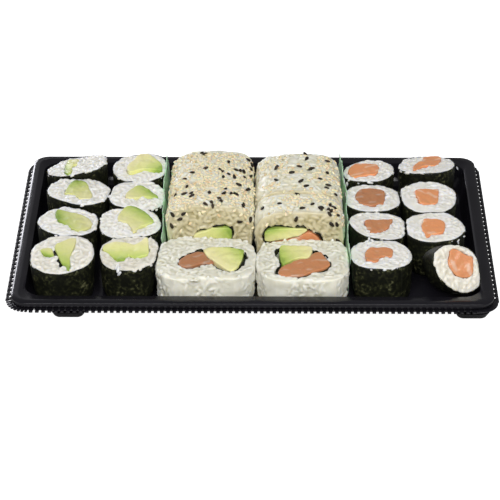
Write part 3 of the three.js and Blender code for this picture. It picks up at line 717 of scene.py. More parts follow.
def spread(points, faces, keep, spacing, random):
    """Evenly scattered places on the kept faces, each with the face's normal."""
    triangles = [(f[0], f[k], f[k + 1]) for f in faces for k in range(1, len(f) - 1)]
    triangles = np.array([t for t in triangles if all(keep[v] for v in t)])
    a, b, c = points[triangles[:, 0]], points[triangles[:, 1]], points[triangles[:, 2]]
    cross = np.cross(b - a, c - a)
    area = np.linalg.norm(cross, axis=1) / 2
    normals = cross / (2 * area[:, None] + 1e-12)
    count = int(area.sum() / spacing**2 * PLACES_TRIED)
    chosen = random.choice(len(triangles), count, p=area / area.sum())
    r, s = np.sqrt(random.random(count)), random.random(count)
    spots = a[chosen] * (1 - r)[:, None] + b[chosen] * (r * (1 - s))[:, None] + c[chosen] * (r * s)[:, None]
    taken, cells = [], {}
    for index, spot in enumerate(spots):
        cell = tuple(int(x // spacing) for x in spot)
        near = [
            cells.get((cell[0] + i, cell[1] + j, cell[2] + k), ())
            for i in (-1, 0, 1) for j in (-1, 0, 1) for k in (-1, 0, 1)
        ]
        if any(np.sum((spots[o] - spot) ** 2) < spacing**2 for group in near for o in group):
            continue
        cells.setdefault(cell, []).append(index)
        taken.append(index)
    return spots[taken], normals[chosen[taken]]


def lying_axes(normal, heading, tilt, scale):
    """Axes of something long that lies on a surface: long along X, its back along the normal."""
    side = np.cross(normal, (0.31, 0.52, 0.79))
    side /= np.linalg.norm(side)
    other = np.cross(normal, side)
    along = side * math.cos(heading) + other * math.sin(heading)
    along = along + normal * tilt
    along /= np.linalg.norm(along)
    across = np.cross(normal, along)
    across /= np.linalg.norm(across)
    return np.stack([along * scale[0], across * scale[1], np.cross(along, across) * scale[2]], 1)


def rice_core(roll, holes, thin, lump):
    """The pressed rice under the outer grains. Returns its points, faces and which points carry grains."""
    # Each row of points: place along the roll, share of the radius, inset, how far out, and whether grains lie on it.
    if thin:
        rows = [(deep / roll.length, 1, inset, 0, False) for deep, inset in ((6.5, 0.9), (1.6, 0.8), (0.6, 0.45))]
    else:
        rows = [(1, share, 0.4, BURY, True) for share in np.linspace(0.1, 0.9, 10)]
        rows.append((1, 0.975, 0.4, BURY + 0.1, True))
        rows += [(t, 1, -0.3, 0, True) for t in np.linspace(0.95, 0.03, 14)]
    rows.append((0, 0.985, 0.15, -BURY - 0.15, not thin))
    rows += [(0, share, 0.2, -BURY, True) for share in np.linspace(0.94, 0.06, 16)]
    rings, carries = [], []
    for t, share, inset, out, kept in rows:
        far = np.maximum(roll.reach(t) * share - inset, 0.2)
        uneven = lump * np.array([
            cloud(math.cos(a) * r / 5, math.sin(a) * r / 5, t * roll.length / 5 + roll.middle[0])
            for a, r in zip(ANGLES, far)
        ])
        on_side = 0 < t < 1
        far = far + (uneven * 1.6 if on_side and not thin else 0)
        for heading, width, depth in SLOPES.get(roll.node, ()):
            away = degrees_off(np.degrees(ANGLES), heading)
            far = far - depth * np.clip(1 - away / width, 0, 1) * min(1, share)
        u, v = far * np.cos(ANGLES), far * np.sin(ANGLES)
        sunk = np.zeros(len(ANGLES), bool)
        if abs(out) >= BURY:
            for hole in holes:
                sunk |= inside(hole, u, v)
        depth = np.where(sunk, out + (WELL if t == 1 else -WELL), out + (0 if on_side else uneven))
        rings.append(roll.place(u, v, t, depth))
        carries.append(kept & ~sunk)
    in_hole = any(inside(hole, 0, 0)[0] for hole in holes)
    start = roll.place(0, 0, rows[0][0], 0 if thin else BURY + (WELL if in_hole else 0))
    end = roll.place(0, 0, 0, -BURY - (WELL if in_hole else 0))
    points, faces = loft(rings, start, end)
    keep = np.concatenate(carries + [[not thin and not in_hole, not in_hole]])
    return points, faces, keep


def grain_depths(node, on_face):
    """The least and the greatest depth of a grain's middle under the core's skin."""
    if "salmon" in node:
        return 0.3, 0.75
    if "avocado" in node:
        return 0.05, 0.65
    if node in MIDDLES:
        return (0.1, 0.75) if on_face else (0.25, 0.85)
    return (0.1, 0.7) if on_face else (0.0, 0.6)


def grains_on(roll, core, holes, model, settings, random):
    """Whole grains over the core, none of them sticking far out of the roll or over a filling."""
    spots, normals = spread(*core, settings.spacing / MM, random)
    half = settings.grain_length / MM / 2 * 0.9
    tight = [grown(hole, -0.4) for hole in holes]
    # How far a grain's tips may stand out of the solid, on the cut faces and on the side.
    most = -0.2 if "salmon" in roll.node else 0.05
    bulge = 0.5 if roll.node in ("uramaki_1", "uramaki_2") else most
    places = []
    for spot, normal in zip(spots, normals):
        on_face = abs(normal @ roll.axis) > 0.5
        middle = spot - normal * random.uniform(*grain_depths(roll.node, on_face))
        size = random.uniform(0.75, 1.1)
        steep = 0.45 if on_face else 0.2
        for _ in range(TURNS_TRIED):
            axes = lying_axes(normal, random.uniform(0, math.pi), random.uniform(-steep, steep),
                              (size, random.uniform(0.88, 1.08), random.uniform(0.88, 1.08)))
            tips = [middle + axes[:, 0] / np.linalg.norm(axes[:, 0]) * half * size * s for s in (-1, 1)]
            if max(roll.proud(tip) for tip in tips) > (most if on_face else bulge):
                continue
            u, v = roll.across(np.array(tips + [middle]))
            if on_face and any(inside(hole, u, v).any() for hole in tight):
                continue
            places.append((middle, axes))
            break
    return copies(*model, places)


def add_rice(roll, holes, settings, material, thin):
    """The rice of a roll: grains melted into their core. Under a nori sheet it goes on as a plain foot."""
    model = grain_model(settings)
    random = np.random.default_rng(sum(ord(c) for c in roll.node) * 7 + 5)
    core = rice_core(roll, holes, thin, settings.lump / MM)
    grains = grains_on(roll, core, holes, model, settings, random)
    obj = object_from_arrays(f"{roll.node}_rice", *joined([core[:2], grains]))
    melt(obj, settings.voxel, 3, 0.5)
    # Painted shade: the rice of a few rolls is dimmed as a whole, and on the lying rolls it darkens and yellows
    # toward the front cut face, over its last 3 mm.
    tone_and_shade = np.full(len(obj.data.vertices), TONES_AND_SHADE["rice"].get(roll.node, 1.0))
    if not thin and roll.node not in MIDDLES:
        tone_and_shade = np.clip(-above_face(roll, points_of(obj))[0] / 3 - 0.1, 0, 1)
    set_values(obj, "tone_and_shade", tone_and_shade)
    set_crease_shade(obj)
    if thin:
        low = [roll.ring(t, 0.9) for t in (0.985, 0.8, 0.6, 0.4, 0.25)]
        foot = object_from_arrays("foot", *loft(low, roll.place(0, 0, 0.985), roll.place(0, 0, 0.25)))
        obj = join_objects([obj, foot])
    finish_piece(obj, material, "sushi_rice", roll.node)


# ---- Nori ---------------------------------------------------------------------------------------
def add_nori_wrap(roll, seam):
    """The sheet round a thin roll: it winds once round and laps over its own start."""
    count, rows = 112, 15
    turns = np.linspace(0, 2 * math.pi + NORI_LAP, count)
    angle = turns + seam
    rim = -0.33 + 0.35 * np.array([cloud(math.cos(a) * 2.4, math.sin(a) * 2.4, seam * 3) for a in angle])
    points = []
    for t in 0.005 + 0.985 * np.arange(rows) / (rows - 1):
        reach = np.interp(angle % (2 * math.pi), np.append(ANGLES, 2 * math.pi),
                          np.append(roll.reach(t), roll.reach(t)[0]))
        line = reach - NORI_WIND * turns / (2 * math.pi) - 0.05
        u, v = line * np.cos(angle), line * np.sin(angle)
        creases = np.array([
            cloud(math.cos(a) * 3.2 + seam * 9, math.sin(a) * 3.2, t * 2.6 + seam)
            + 0.5 * cloud(math.cos(a) * 9, math.sin(a) * 9 + seam * 5, t * 6)
            for a in angle
        ])
        share = 1 + 0.16 * creases / line
        points.append(roll.place(u * share, v * share, t, 0.0 if points else rim))
    faces = []
    for row in range(rows - 1):
        for i in range(count - 1):
            low = row * count + i
            faces.append((low, low + count, low + count + 1, low + 1))
    obj = object_from_arrays(f"{roll.node}_nori", np.vstack(points), faces)
    apply_modifier(obj, "SOLIDIFY", thickness=NORI_THICKNESS * MM, offset=-1)
    finish_piece(obj, "Nori", "nori_sheet", roll.node)


def add_nori_core(roll, line, shown):
    """The sheet inside an inside-out roll, round its fillings. It stands free only where it is shown."""
    depth = np.where(shown, 0.25, -0.5)[:, None]
    outer, inner = grown(line, 0.5), line
    rings = []
    for outline, t, out in ((outer, 0, depth), (outer, 1, -depth), (inner, 1, -depth), (inner, 0, depth)):
        rings.append(roll.place(outline[:, 0], outline[:, 1], t) + roll.axis * out)
    count = len(line)
    faces = []
    for k in range(4):
        for i in range(count):
            j = (i + 1) % count
            low, high = k * count, (k + 1) % 4 * count
            faces.append((low + j, low + i, high + i, high + j))
    obj = object_from_arrays(f"{roll.node}_nori", np.vstack(rings), faces)
    bpy.ops.object.mode_set(mode="EDIT")
    leave_edit_outwards()
    finish_piece(obj, "Nori", "nori_sheet", roll.node)


def core_line(roll, outlines, gaps):
    """The line of the inner nori sheet, and where along it the sheet shows."""
    line = wrapped(outlines, -0.25)
    middle = line.mean(0)
    angles = np.degrees(np.arctan2(line[:, 1] - middle[1], line[:, 0] - middle[0]))
    shown = np.zeros(len(line), bool)
    for heading, width in gaps:
        shown |= degrees_off(angles, heading) < width
    away = np.convolve(np.tile(shown.astype(float), 3), np.ones(3) / 3, "same")[len(line):2 * len(line)]
    line = middle + (line - middle) * (1 + 0.4 * away / np.linalg.norm(line - middle, axis=1))[:, None]
    limit = np.interp(np.arctan2(line[:, 1], line[:, 0]) % (2 * math.pi), ANGLES, roll.reach(0)) - 2.2
    return line * np.minimum(1, limit / np.linalg.norm(line, axis=1))[:, None], shown


# ---- Fillings -----------------------------------------------------------------------------------
# The painted shadow sliver takes the nori's material and slot.
FILLING_LOOKS = {"avocado": ("Avocado", "avocado_flesh"), "salmon": ("Salmon", "salmon_flesh"),
                 "gap": ("Nori", "nori_sheet")}


def add_filling(roll, number, kind, outline, heading, proud):
    """A stick of avocado or salmon through the roll, or a sliver of painted shadow: an outline extruded and melted
    soft, with an uneven cut.
    """
    line = rounded(outline)
    middle = line.mean(0)
    name = f"{roll.node}_{kind}" + ("" if number == 0 else f"_{number + 1}")
    order = range(len(line)) if runs_left(line) else reversed(range(len(line)))
    obj = object_from_arrays(name, roll.place(line[:, 0], line[:, 1], 0, proud), [order])
    edit_all()
    bpy.ops.mesh.extrude_region_move()
    edit = bmesh.from_edit_mesh(obj.data)
    for vertex in [v for v in edit.verts if v.select]:
        vertex.co = Vector(roll.place(*roll.across(np.array(vertex.co) / MM), 1, FILLING_END) * MM)
    leave_edit_outwards()
    melt(obj, FILLING_VOXEL * MM, 3, 0.6)
    points = points_of(obj)
    above, u, v = above_face(roll, points)
    shift = np.array([
        cloud(*p / 3.1) * 0.35 + cloud(*p / 1.1) * 0.12 if a > -2 else 0.0
        for p, a in zip(points, above)
    ])
    set_points(obj, points + np.outer(shift, roll.axis))
    side = towards(math.radians(heading))
    away = np.stack([u, v], 1) - middle
    along, across = away @ side, away @ np.array([-side[1], side[0]])
    ends = (line - middle) @ side
    set_values(obj, "flesh", np.clip((along - ends.min()) / (ends.max() - ends.min()), 0, 1))
    fibre = obj.data.attributes.new("fibre", "FLOAT_VECTOR", "POINT")
    fibre.data.foreach_set("vector", (np.stack([along, across, above], 1) * 0.1).astype(np.float32).ravel())
    set_values(obj, "tone_and_shade", np.full(len(points), TONES_AND_SHADE[kind].get(roll.node, 0.6)))
    material, slot = FILLING_LOOKS[kind]
    finish_piece(obj, material, slot, roll.node)


# ---- Materials ----------------------------------------------------------------------------------
def cloud_group(name, last_kind, entry, result, output, inputs):
    """A node group that leads clouds from Object coordinates through one last node.

    Each input is its label, its value, and the socket it sets: of the clouds, or of the last node.
    """
    tree = bpy.data.node_groups.new(name, "ShaderNodeTree")
    for label, value, _, _ in inputs:
        tree.interface.new_socket(name=label, in_out="INPUT", socket_type="NodeSocketFloat").default_value = value
    tree.interface.new_socket(name=output[0], in_out="OUTPUT", socket_type=output[1])
    kinds = ("NodeGroupInput", "NodeGroupOutput", "ShaderNodeTexCoord", "ShaderNodeTexNoise", last_kind)
    start, end, coordinates, clouds, last = (tree.nodes.new(kind) for kind in kinds)
    clouds.inputs["Detail"].default_value = 4
    tree.links.new(coordinates.outputs["Object"], clouds.inputs["Vector"])
    tree.links.new(clouds.outputs["Fac"], last.inputs[entry])
    tree.links.new(last.outputs[result], end.inputs[output[0]])
    for label, _, owner, socket in inputs:
        tree.links.new(start.outputs[label], (clouds if owner == "clouds" else last).inputs[socket])


class Shade:
    """A material under construction."""

    def __init__(self, name):
        material = bpy.data.materials.new(name)
        material.use_nodes = True
        self.tree = material.node_tree
        self.skin = self.tree.nodes["Principled BSDF"]

    def node(self, kind, **values):
        node = self.tree.nodes.new(kind)
        for key, value in values.items():
            setattr(node, key, value)
        return node

    def join(self, start, end):
        self.tree.links.new(start, end)

    def set(self, **values):
        for key, value in values.items():
            self.skin.inputs[key.replace("_", " ")].default_value = value

    def paint(self, colour):
        self.join(colour, self.skin.inputs["Base Color"])

    def carried(self, name, output="Fac"):
        """What the mesh carries for every point under a name."""
        return self.node("ShaderNodeAttribute", attribute_name=name).outputs[output]

    def group(self, name, **values):
        node = self.node("ShaderNodeGroup")
        node.node_tree = bpy.data.node_groups[name]
        for key, value in values.items():
            node.inputs[key].default_value = value
        return node.outputs[0]

    def mottle(self, scale, detail, low=0.35, high=0.65):
        return self.group("Mottle", Scale=scale, Detail=detail, Low=low, High=high)

    def relief(self, scale, strength, height):
        fine = self.group("Fine relief", Scale=scale, Strength=strength, Height=height)
        self.join(fine, self.skin.inputs["Normal"])

    def ramp(self, source, stops):
        node = self.node("ShaderNodeValToRGB")
        elements = node.color_ramp.elements
        while len(elements) < len(stops):
            elements.new(0.5)
        for element, (place, colour) in zip(elements, stops):
            element.position = place
            element.color = (*colour, 1)
        self.join(source, node.inputs["Fac"])
        return node.outputs["Color"]

    def product(self, one, other):
        """The product of two values."""
        node = self.node("ShaderNodeMath", operation="MULTIPLY")
        self.join(one, node.inputs[0])
        self.join(other, node.inputs[1])
        return node.outputs["Value"]

    def dimmed(self, colour, name, stops):
        """A colour times the colours of a ramp over a value that the mesh carries."""
        node = self.node("ShaderNodeMix", data_type="RGBA", blend_type="MULTIPLY")
        node.inputs["Factor"].default_value = 1
        self.join(colour, node.inputs["A"])
        self.join(self.ramp(self.carried(name), stops), node.inputs["B"])
        return node.outputs["Result"]

    def toned_and_shaded(self, colour, dark):
        """A colour dimmed by a value that the piece carries, down to the dark factors; on the rice this is painted
        shade.
        """
        return self.dimmed(colour, "tone_and_shade", [(0, dark), (1, (1, 1, 1))])


def shaded(colour, *factors):
    """A colour times one factor, or times one for each channel."""
    return tuple(c * f for c, f in zip(colour, factors * 3 if len(factors) == 1 else factors))


def rice_material(name, colour, dim, crease):
    shade = Shade(name)
    blotched = shade.ramp(shade.mottle(230.0, 3.0), [(0, shaded(colour, *dim)), (1, shaded(colour, 1.03))])
    # Painted shade and highlight: the creases between grains darken toward the crease colour, and the ridges are
    # brightened by 5 %.
    creases = [(0.25, (1.05, 1.05, 1.05)), (0.55, (0.99, 0.99, 0.98)), (0.95, crease)]
    # Painted shade: the dark factors (0.71, 0.66, 0.53) darken and yellow the rice where the piece carries a low
    # value.
    shade.paint(shade.dimmed(shade.toned_and_shaded(blotched, (0.71, 0.66, 0.53)), "hollow", creases))
    shade.set(Subsurface_Weight=0.8, Subsurface_Radius=(1.0, 0.92, 0.75), Subsurface_Scale=0.0022, Roughness=0.4,
              Specular_IOR_Level=0.35, Coat_Weight=0.1, Coat_Roughness=0.25)
    shade.relief(1500.0, 0.12, 0.0002)


def nori_material(colour):
    shade = Shade("Nori")
    # The lighter flecks are partly the seaweed's own and partly painted sheen.
    flecks_and_sheen = shade.product(shade.mottle(650.0, 5.0, 0.46, 0.72), shade.mottle(140.0, 3.0, 0.3, 0.6))
    shade.paint(shade.ramp(flecks_and_sheen, [(0, colour), (0.35, (0.022, 0.024, 0.009)), (1, (0.15, 0.15, 0.075))]))
    shade.set(Roughness=0.6, Specular_IOR_Level=0.22)
    shade.relief(650.0, 0.6, 0.0004)


def avocado_material(heart, edge):
    shade = Shade("Avocado")
    uneven = shade.node("ShaderNodeMath", operation="MULTIPLY_ADD")
    shade.join(shade.mottle(330.0, 2.0, 0.2, 0.8), uneven.inputs[0])
    uneven.inputs[1].default_value = 0.12
    shade.join(shade.carried("flesh"), uneven.inputs[2])
    stops = [(0.1, heart), (0.6, (0.80, 0.81, 0.33)), (0.9, (0.54, 0.66, 0.16)), (1.0, edge)]
    shade.paint(shade.toned_and_shaded(shade.ramp(uneven.outputs["Value"], stops), (0.72, 0.76, 0.66)))
    shade.set(Subsurface_Weight=0.25, Subsurface_Radius=(1.0, 0.9, 0.3), Subsurface_Scale=0.001, Roughness=0.42)
    shade.relief(500.0, 0.25, 0.0003)


def salmon_material(meat, fat):
    shade = Shade("Salmon")
    wave = shade.node("ShaderNodeTexWave", wave_type="BANDS", bands_direction="Y", wave_profile="SIN")
    for label, value in (("Scale", 0.62), ("Distortion", 3.2), ("Detail", 3), ("Detail Scale", 1.1)):
        wave.inputs[label].default_value = value
    shade.join(shade.carried("fibre", "Vector"), wave.inputs["Vector"])
    lines = shade.product(wave.outputs["Fac"], shade.mottle(170.0, 1.0, 0.4, 0.6))
    shade.paint(shade.toned_and_shaded(shade.ramp(lines, [(0, meat), (0.55, meat), (1, fat)]), (0.56, 0.60, 0.66)))
    shade.set(Subsurface_Weight=0.3, Subsurface_Radius=(1.0, 0.45, 0.25), Subsurface_Scale=0.0014, Roughness=0.4,
              Specular_IOR_Level=0.4, Coat_Weight=0.1)
    shade.relief(450.0, 0.25, 0.0003)


def plastic_material(colour, gloss):
    shade = Shade("Tray plastic")
    smear = shade.mottle(45.0, 5.0, 0.3, 0.75)
    shade.paint(shade.ramp(smear, [(0, colour), (1, shaded(colour, 1.5))]))
    rough = shade.node("ShaderNodeMapRange")
    rough.inputs["To Min"].default_value = gloss - 0.04
    rough.inputs["To Max"].default_value = gloss + 0.08
    shade.join(smear, rough.inputs["Value"])
    shade.join(rough.outputs["Result"], shade.skin.inputs["Roughness"])
    shade.set(Specular_IOR_Level=0.3)
    shade.relief(120.0, 0.1, 0.0004)


def film_material(colour):
    shade = Shade("Grass film")
    shade.paint(shade.ramp(shade.mottle(420.0, 2.0), [(0, shaded(colour, 0.82)), (1, shaded(colour, 1.15))]))
    shade.set(Roughness=0.35, Subsurface_Weight=0.9, Subsurface_Radius=(0.6, 1, 0.6), Subsurface_Scale=0.002, IOR=1.4)
    shade.relief(260.0, 0.2, 0.0004)


def sesame_material(name, colour, bright, glow):
    shade = Shade(name)
    stops = [(0, shaded(colour, 0.86, 0.76, 0.62)), (0.3, colour), (1, shaded(colour, bright))]
    shade.paint(shade.ramp(shade.carried("tone_and_shade"), stops))
    shade.set(Roughness=0.5, Specular_IOR_Level=0.3, Subsurface_Weight=glow, Subsurface_Scale=0.0006)
    shade.relief(1400.0, 0.3, 0.0002)


def floor_material(colour):
    """A floor that is plain white to the camera, and grey to everything that it reflects on."""
    shade = Shade("Floor")
    shade.join(shade.node("ShaderNodeLightPath").outputs["Is Camera Ray"], shade.skin.inputs["Emission Strength"])
    shade.set(Base_Color=(*colour, 1), Roughness=0.9, Specular_IOR_Level=0.1, Emission_Color=(1, 1, 1, 1))


def make_materials(scene):
    rice, filling, sesame = scene.sushi_rice, scene.sushi_filling, scene.sushi_sesame
    cloud_group("Mottle", "ShaderNodeMapRange", "Value", "Result", ("Mask", "NodeSocketFloat"), [
        ("Scale", 200.0, "clouds", "Scale"), ("Detail", 3.0, "clouds", "Detail"),
        ("Low", 0.35, "last", "From Min"), ("High", 0.65, "last", "From Max"),
    ])
    cloud_group("Fine relief", "ShaderNodeBump", "Height", "Normal", ("Normal", "NodeSocketVector"), [
        ("Scale", 600.0, "clouds", "Scale"), ("Strength", 0.3, "last", "Strength"),
        ("Height", 0.0002, "last", "Distance"),
    ])
    # Painted shade: the last colour given to each rice below darkens the creases between its grains.
    plain, yellow_crease_shade = (0.93, 0.93, 0.88), (0.76, 0.74, 0.62)
    rice_material("Rice", rice.white, plain, (0.88, 0.87, 0.82))
    rice_material("Warm rice", rice.warm, plain, yellow_crease_shade)
    rice_material("Golden rice", rice.golden, (0.88, 0.86, 0.76), yellow_crease_shade)
    nori_material(rice.nori)
    avocado_material(filling.avocado_heart, filling.avocado_skin)
    salmon_material(filling.salmon, filling.salmon_fat)
    plastic_material(scene.sushi_tray.plastic, scene.sushi_tray.gloss)
    film_material(scene.sushi_tray.film)
    sesame_material("Toasted sesame", sesame.toasted, 1.1, 0.2)
    sesame_material("Black sesame", sesame.black, 2.2, 0)
    floor_material(scene.sushi_stage.floor)


# ---- Tray ---------------------------------------------------------------------------------------
CORNERS = ((1, 1), (-1, 1), (-1, -1), (1, -1))


def tray_half():
    """Half the tray's length and half its width."""
    low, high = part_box("tray")
    return (high.x - low.x) / 2 / MM, (high.y - low.y) / 2 / MM


def rounded_rectangle(half_x, half_y, radius, z, steps=10, middle=(0, 0)):
    points = []
    for corner, (sx, sy) in enumerate(CORNERS):
        for step in range(steps + 1):
            angle = (corner + step / steps) * math.pi / 2
            points.append((middle[0] + sx * (half_x - radius) + radius * math.cos(angle),
                           middle[1] + sy * (half_y - radius) + radius * math.sin(angle), z))
    return np.array(points)


def extruded(name, rings):
    """A closed shell raised from a filled circle: each extrusion is laid out along the next ring."""
    deselect()
    bpy.ops.mesh.primitive_circle_add(vertices=len(rings[0]), radius=1, fill_type="NGON", location=(0, 0, 0))
    obj = bpy.context.active_object
    obj.name = obj.data.name = name
    for vertex, point in zip(obj.data.vertices, rings[0]):
        vertex.co = Vector(point) * MM
    edit_all()
    for before, after in zip(rings, rings[1:]):
        bpy.ops.mesh.extrude_region_move()
        edit = bmesh.from_edit_mesh(obj.data)
        for vertex in [v for v in edit.verts if v.select]:
            here = np.linalg.norm(before * MM - np.array(vertex.co), axis=1)
            vertex.co = Vector(after[int(here.argmin())]) * MM
        bmesh.update_edit_mesh(obj.data)
    leave_edit_outwards()
    return obj


def cut_or_join(obj, tool, operation):
    apply_modifier(obj, "BOOLEAN", operation=operation, object=tool, solver="EXACT")
    bpy.data.objects.remove(tool)


def add_tray(settings):
    """The formed tray: a shell of two walls, joined with its hollow feet."""
    half_x, half_y = tray_half()
    outer = [rounded_rectangle(half_x - ix, half_y - iy, r, z) for ix, iy, z, r in OUTER_WALL]
    inner = [rounded_rectangle(half_x - ix, half_y - iy, r, z) for ix, iy, z, r in INNER_WALL]
    shell = extruded("tray_shell", outer + inner)
    apply_modifier(shell, "BEVEL", width=settings.edge, segments=2, limit_method="ANGLE",
                   angle_limit=math.radians(24))

    def block(name, length, width, radius, profile, middle):
        return extruded(name, [
            rounded_rectangle(length / 2 + grow, width / 2 + grow, radius + grow, z, 5, middle)
            for z, grow in profile
        ])

    lugs, pockets = [], []
    for x, y, aside in FEET:
        lugs.append(block("lug", FOOT_LENGTH, FOOT_WIDTH, FOOT_RADIUS, FOOT_PROFILE, (x, y)))
        pockets.append(block("pocket", POCKET_LENGTH, POCKET_WIDTH, POCKET_RADIUS,
                             ((SHEET, 0), (POCKET_TOP, POCKET_FLARE)), (x + aside, y)))
    lugs = join_objects(lugs)
    cut_or_join(lugs, extruded("well", inner[::-1]), "DIFFERENCE")
    cut_or_join(shell, lugs, "UNION")
    cut_or_join(shell, join_objects(pockets), "DIFFERENCE")
    make_active(shell)
    bpy.ops.object.shade_smooth_by_angle(angle=math.radians(38))
    finish_piece(shell, "Tray plastic", "tray_plastic", "tray", smooth=False)


def tooth_model(root, tip, split):
    """A tooth of the comb along X, one millimetre long and wide: a stem with a bar across its tip."""
    deselect()
    bpy.ops.mesh.primitive_cube_add(size=1, location=(0, 0, 0))
    obj = bpy.context.active_object
    edit_all()
    bpy.ops.transform.resize(value=(split * MM, root * MM, TOOTH_HEIGHT * MM))
    bpy.ops.transform.translate(value=(split / 2 * MM, 0, 0))
    bpy.ops.mesh.select_all(action="DESELECT")
    edit = bmesh.from_edit_mesh(obj.data)
    for face in edit.faces:
        if face.normal.x > 0.9:
            face.select_set(True)
    bmesh.update_edit_mesh(obj.data)
    for forward, widen in ((BAR_STEP * MM, tip / root), ((1 - BAR_STEP - split) * MM, 1)):
        bpy.ops.mesh.extrude_region_move(TRANSFORM_OT_translate={"value": (forward, 0, 0)})
        bpy.ops.transform.resize(value=(1, widen, 1))
    bpy.ops.mesh.select_all(action="SELECT")
    bpy.ops.mesh.bevel(offset=TOOTH_EDGE * MM, segments=1, affect="EDGES")
    bpy.ops.object.mode_set(mode="OBJECT")
    return take_model(obj)


def add_teeth():
    """The comb round the foot of the rim's skirt. Round the front right corner its teeth run together."""
    half_x, half_y = tray_half()
    comb, chain = tooth_model(0.95, 0.62, 0.4), tooth_model(0.56, 1, 0.66)
    left, right, ends = TOOTH_REACH
    parts = []
    for turn, (sx, sy) in enumerate(CORNERS):
        middle = np.array([sx * (half_x - COMB_RADIUS), sy * (half_y - COMB_RADIUS)])
        along_x = turn % 2 == 0
        length = 2 * ((half_x if along_x else half_y) - COMB_RADIUS)
        pitch = FRONT_PITCH if along_x else SIDE_PITCH
        count = 16 if (sx, sy) == (1, -1) else 8
        spots = []
        for step in range(count):
            outward = towards((turn + (step + 0.5) / count) * math.pi / 2)
            spots.append((middle + outward * (COMB_RADIUS - COMB_ROOT), outward, CORNER_PITCH))
        outward = towards((turn + 1) * math.pi / 2)
        forward = np.array([-outward[1], outward[0]])
        teeth = round(length / pitch)
        for step in range(teeth):
            spot = middle + outward * (COMB_RADIUS - COMB_ROOT) + forward * (step + 0.5) * length / teeth
            spots.append((spot, outward, pitch))
        places = []
        for spot, outward, wide in spots:
            past = (right if outward[0] > 0 else left) * abs(outward[0]) + ends * abs(outward[1])
            shorter = CORNER_SHORTER if wide == CORNER_PITCH else 0
            along = np.array([*outward, -0.05]) * (COMB_ROOT + 0.2 + past - shorter)
            across = np.array([-outward[1], outward[0], 0]) * wide * 0.98
            places.append((np.array([*spot, COMB_LEVEL]), np.stack([along, across, (0, 0, 1)], 1)))
        parts.append(copies(*(comb if along_x else chain), places))
    obj = object_from_arrays("tray_teeth", *joined(parts))
    finish_piece(obj, "Tray plastic", "tray_plastic", "tray")


# ---- Film ---------------------------------------------------------------------------------------
def add_film(name):
    """A strip of grass film: wavy, its upper edge cut into blades, flopping over to one side."""
    film = FILMS[name]
    (x0, y0), (x1, y1) = film["front"], film["back"]
    blades = round((y1 - y0) / FILM_PITCH)
    columns, rows = blades * 12, 22
    flop_at, flop_by = zip(*film["flop"])
    points = []
    for row in range(rows + 1):
        part = row / rows
        for column in range(columns + 1):
            along = column / columns
            phase = along * blades % 1
            number = int(along * blades - 1e-9)
            peak = FILM_TIP - BLADE_UNEVEN * abs(math.sin(number * 2.1 + y0))
            rise = min(phase / BLADE_RISE, (1 - phase) / (1 - BLADE_RISE))
            top = FILM_SADDLE + (peak - FILM_SADDLE) * rise
            z = FILM_FOOT + (top - FILM_FOOT) * part
            high = min(1, max(0, (z - FLOP_START) / (FLOP_END - FLOP_START)))
            bow = high * high * (3 - 2 * high)
            curl = max(0, z - CURL_START) * CURL_SHARE
            lean = np.interp(along, flop_at, flop_by) * (bow - curl)
            wave = 0.3 * math.sin(along * blades * 1.3 + y0) + 0.3 * cloud(along * 14, z / 9, y0)
            y = y0 + (y1 - y0) * along - 2.0 * high**1.5
            points.append((x0 + (x1 - x0) * along + wave * min(1, z / 12) + lean, y, z))
    faces = []
    for row in range(rows):
        for column in range(columns):
            low = row * (columns + 1) + column
            faces.append((low, low + 1, low + columns + 2, low + columns + 1))
    obj = object_from_arrays(f"{name}_film", points, faces)
    apply_modifier(obj, "SOLIDIFY", thickness=FILM_THICKNESS * MM, offset=0)
    finish_piece(obj, "Grass film", "divider_film", name)


# ---- Sesame -------------------------------------------------------------------------------------
def seed_model(length):
    """A sesame seed: a flat drop along X."""
    points, faces = ball_model(5, (length, length * 0.56, length * 0.32))
    share = points[:, 0] / (length / MM) + 0.5
    points[:, 1] *= 0.6 + 0.7 * share
    return points, faces


def add_seeds(name, material, length, places, random):
    model = seed_model(length)
    obj = object_from_arrays(name, *copies(*model, places))
    set_values(obj, "tone_and_shade", np.repeat(random.random(len(places)), len(model[0])))
    finish_piece(obj, material, name)


def ground_of(names):
    """The skins of finished pieces, to lay things on."""
    corners, faces = [], []
    for name in names:
        obj = bpy.data.objects[name]
        base = len(corners)
        corners.extend(points_of(obj).tolist())
        faces.extend([tuple(v + base for v in p.vertices) for p in obj.data.polygons])
    return BVHTree.FromPolygons(corners, faces)


def lay(ground, start, direction, heading, tilt, size, sink):
    """The place of a thing laid on the ground where a line from the start meets it."""
    start = start - direction * RAY_START
    place, normal, _, _ = ground.ray_cast(start, direction)
    if place is None:
        return None
    around = [ground.ray_cast(start + Vector(s), direction)[1]
              for s in ((1, 0, 0), (-1, 0, 0), (0, 1, 0), (0, -1, 0))]
    soft = np.array((normal + sum((n for n in around if n is not None), Vector())).normalized())
    return np.array(place) + soft * sink, lying_axes(soft, heading, tilt, size)


def toasted_share(x, y, left):
    """How thickly the toasted seeds lie at a place: in clouds on the left rolls, in patches on the right ones."""
    patchy = cloud(x / 5, y / 5, 2) + 0.5 * cloud(x / 2.2, y / 2.2, 7)
    if not left:
        in_patch = any(math.hypot(x - a, (y - b) * 0.8) < r * (1 + 0.6 * patchy) for a, b, r in TOASTED_PATCHES)
        return 0.55 if in_patch else 0.03
    share = 0.7 if y > -14 else 0.7 * max(0, (y + 24) / 10) * (1 if x < -26 or x > -8 else 0.25)
    share *= min(1, max(0.1, 0.75 + 1.5 * patchy))
    return share * 0.3 if -40 < x < -27 and 8 < y < 32 else share


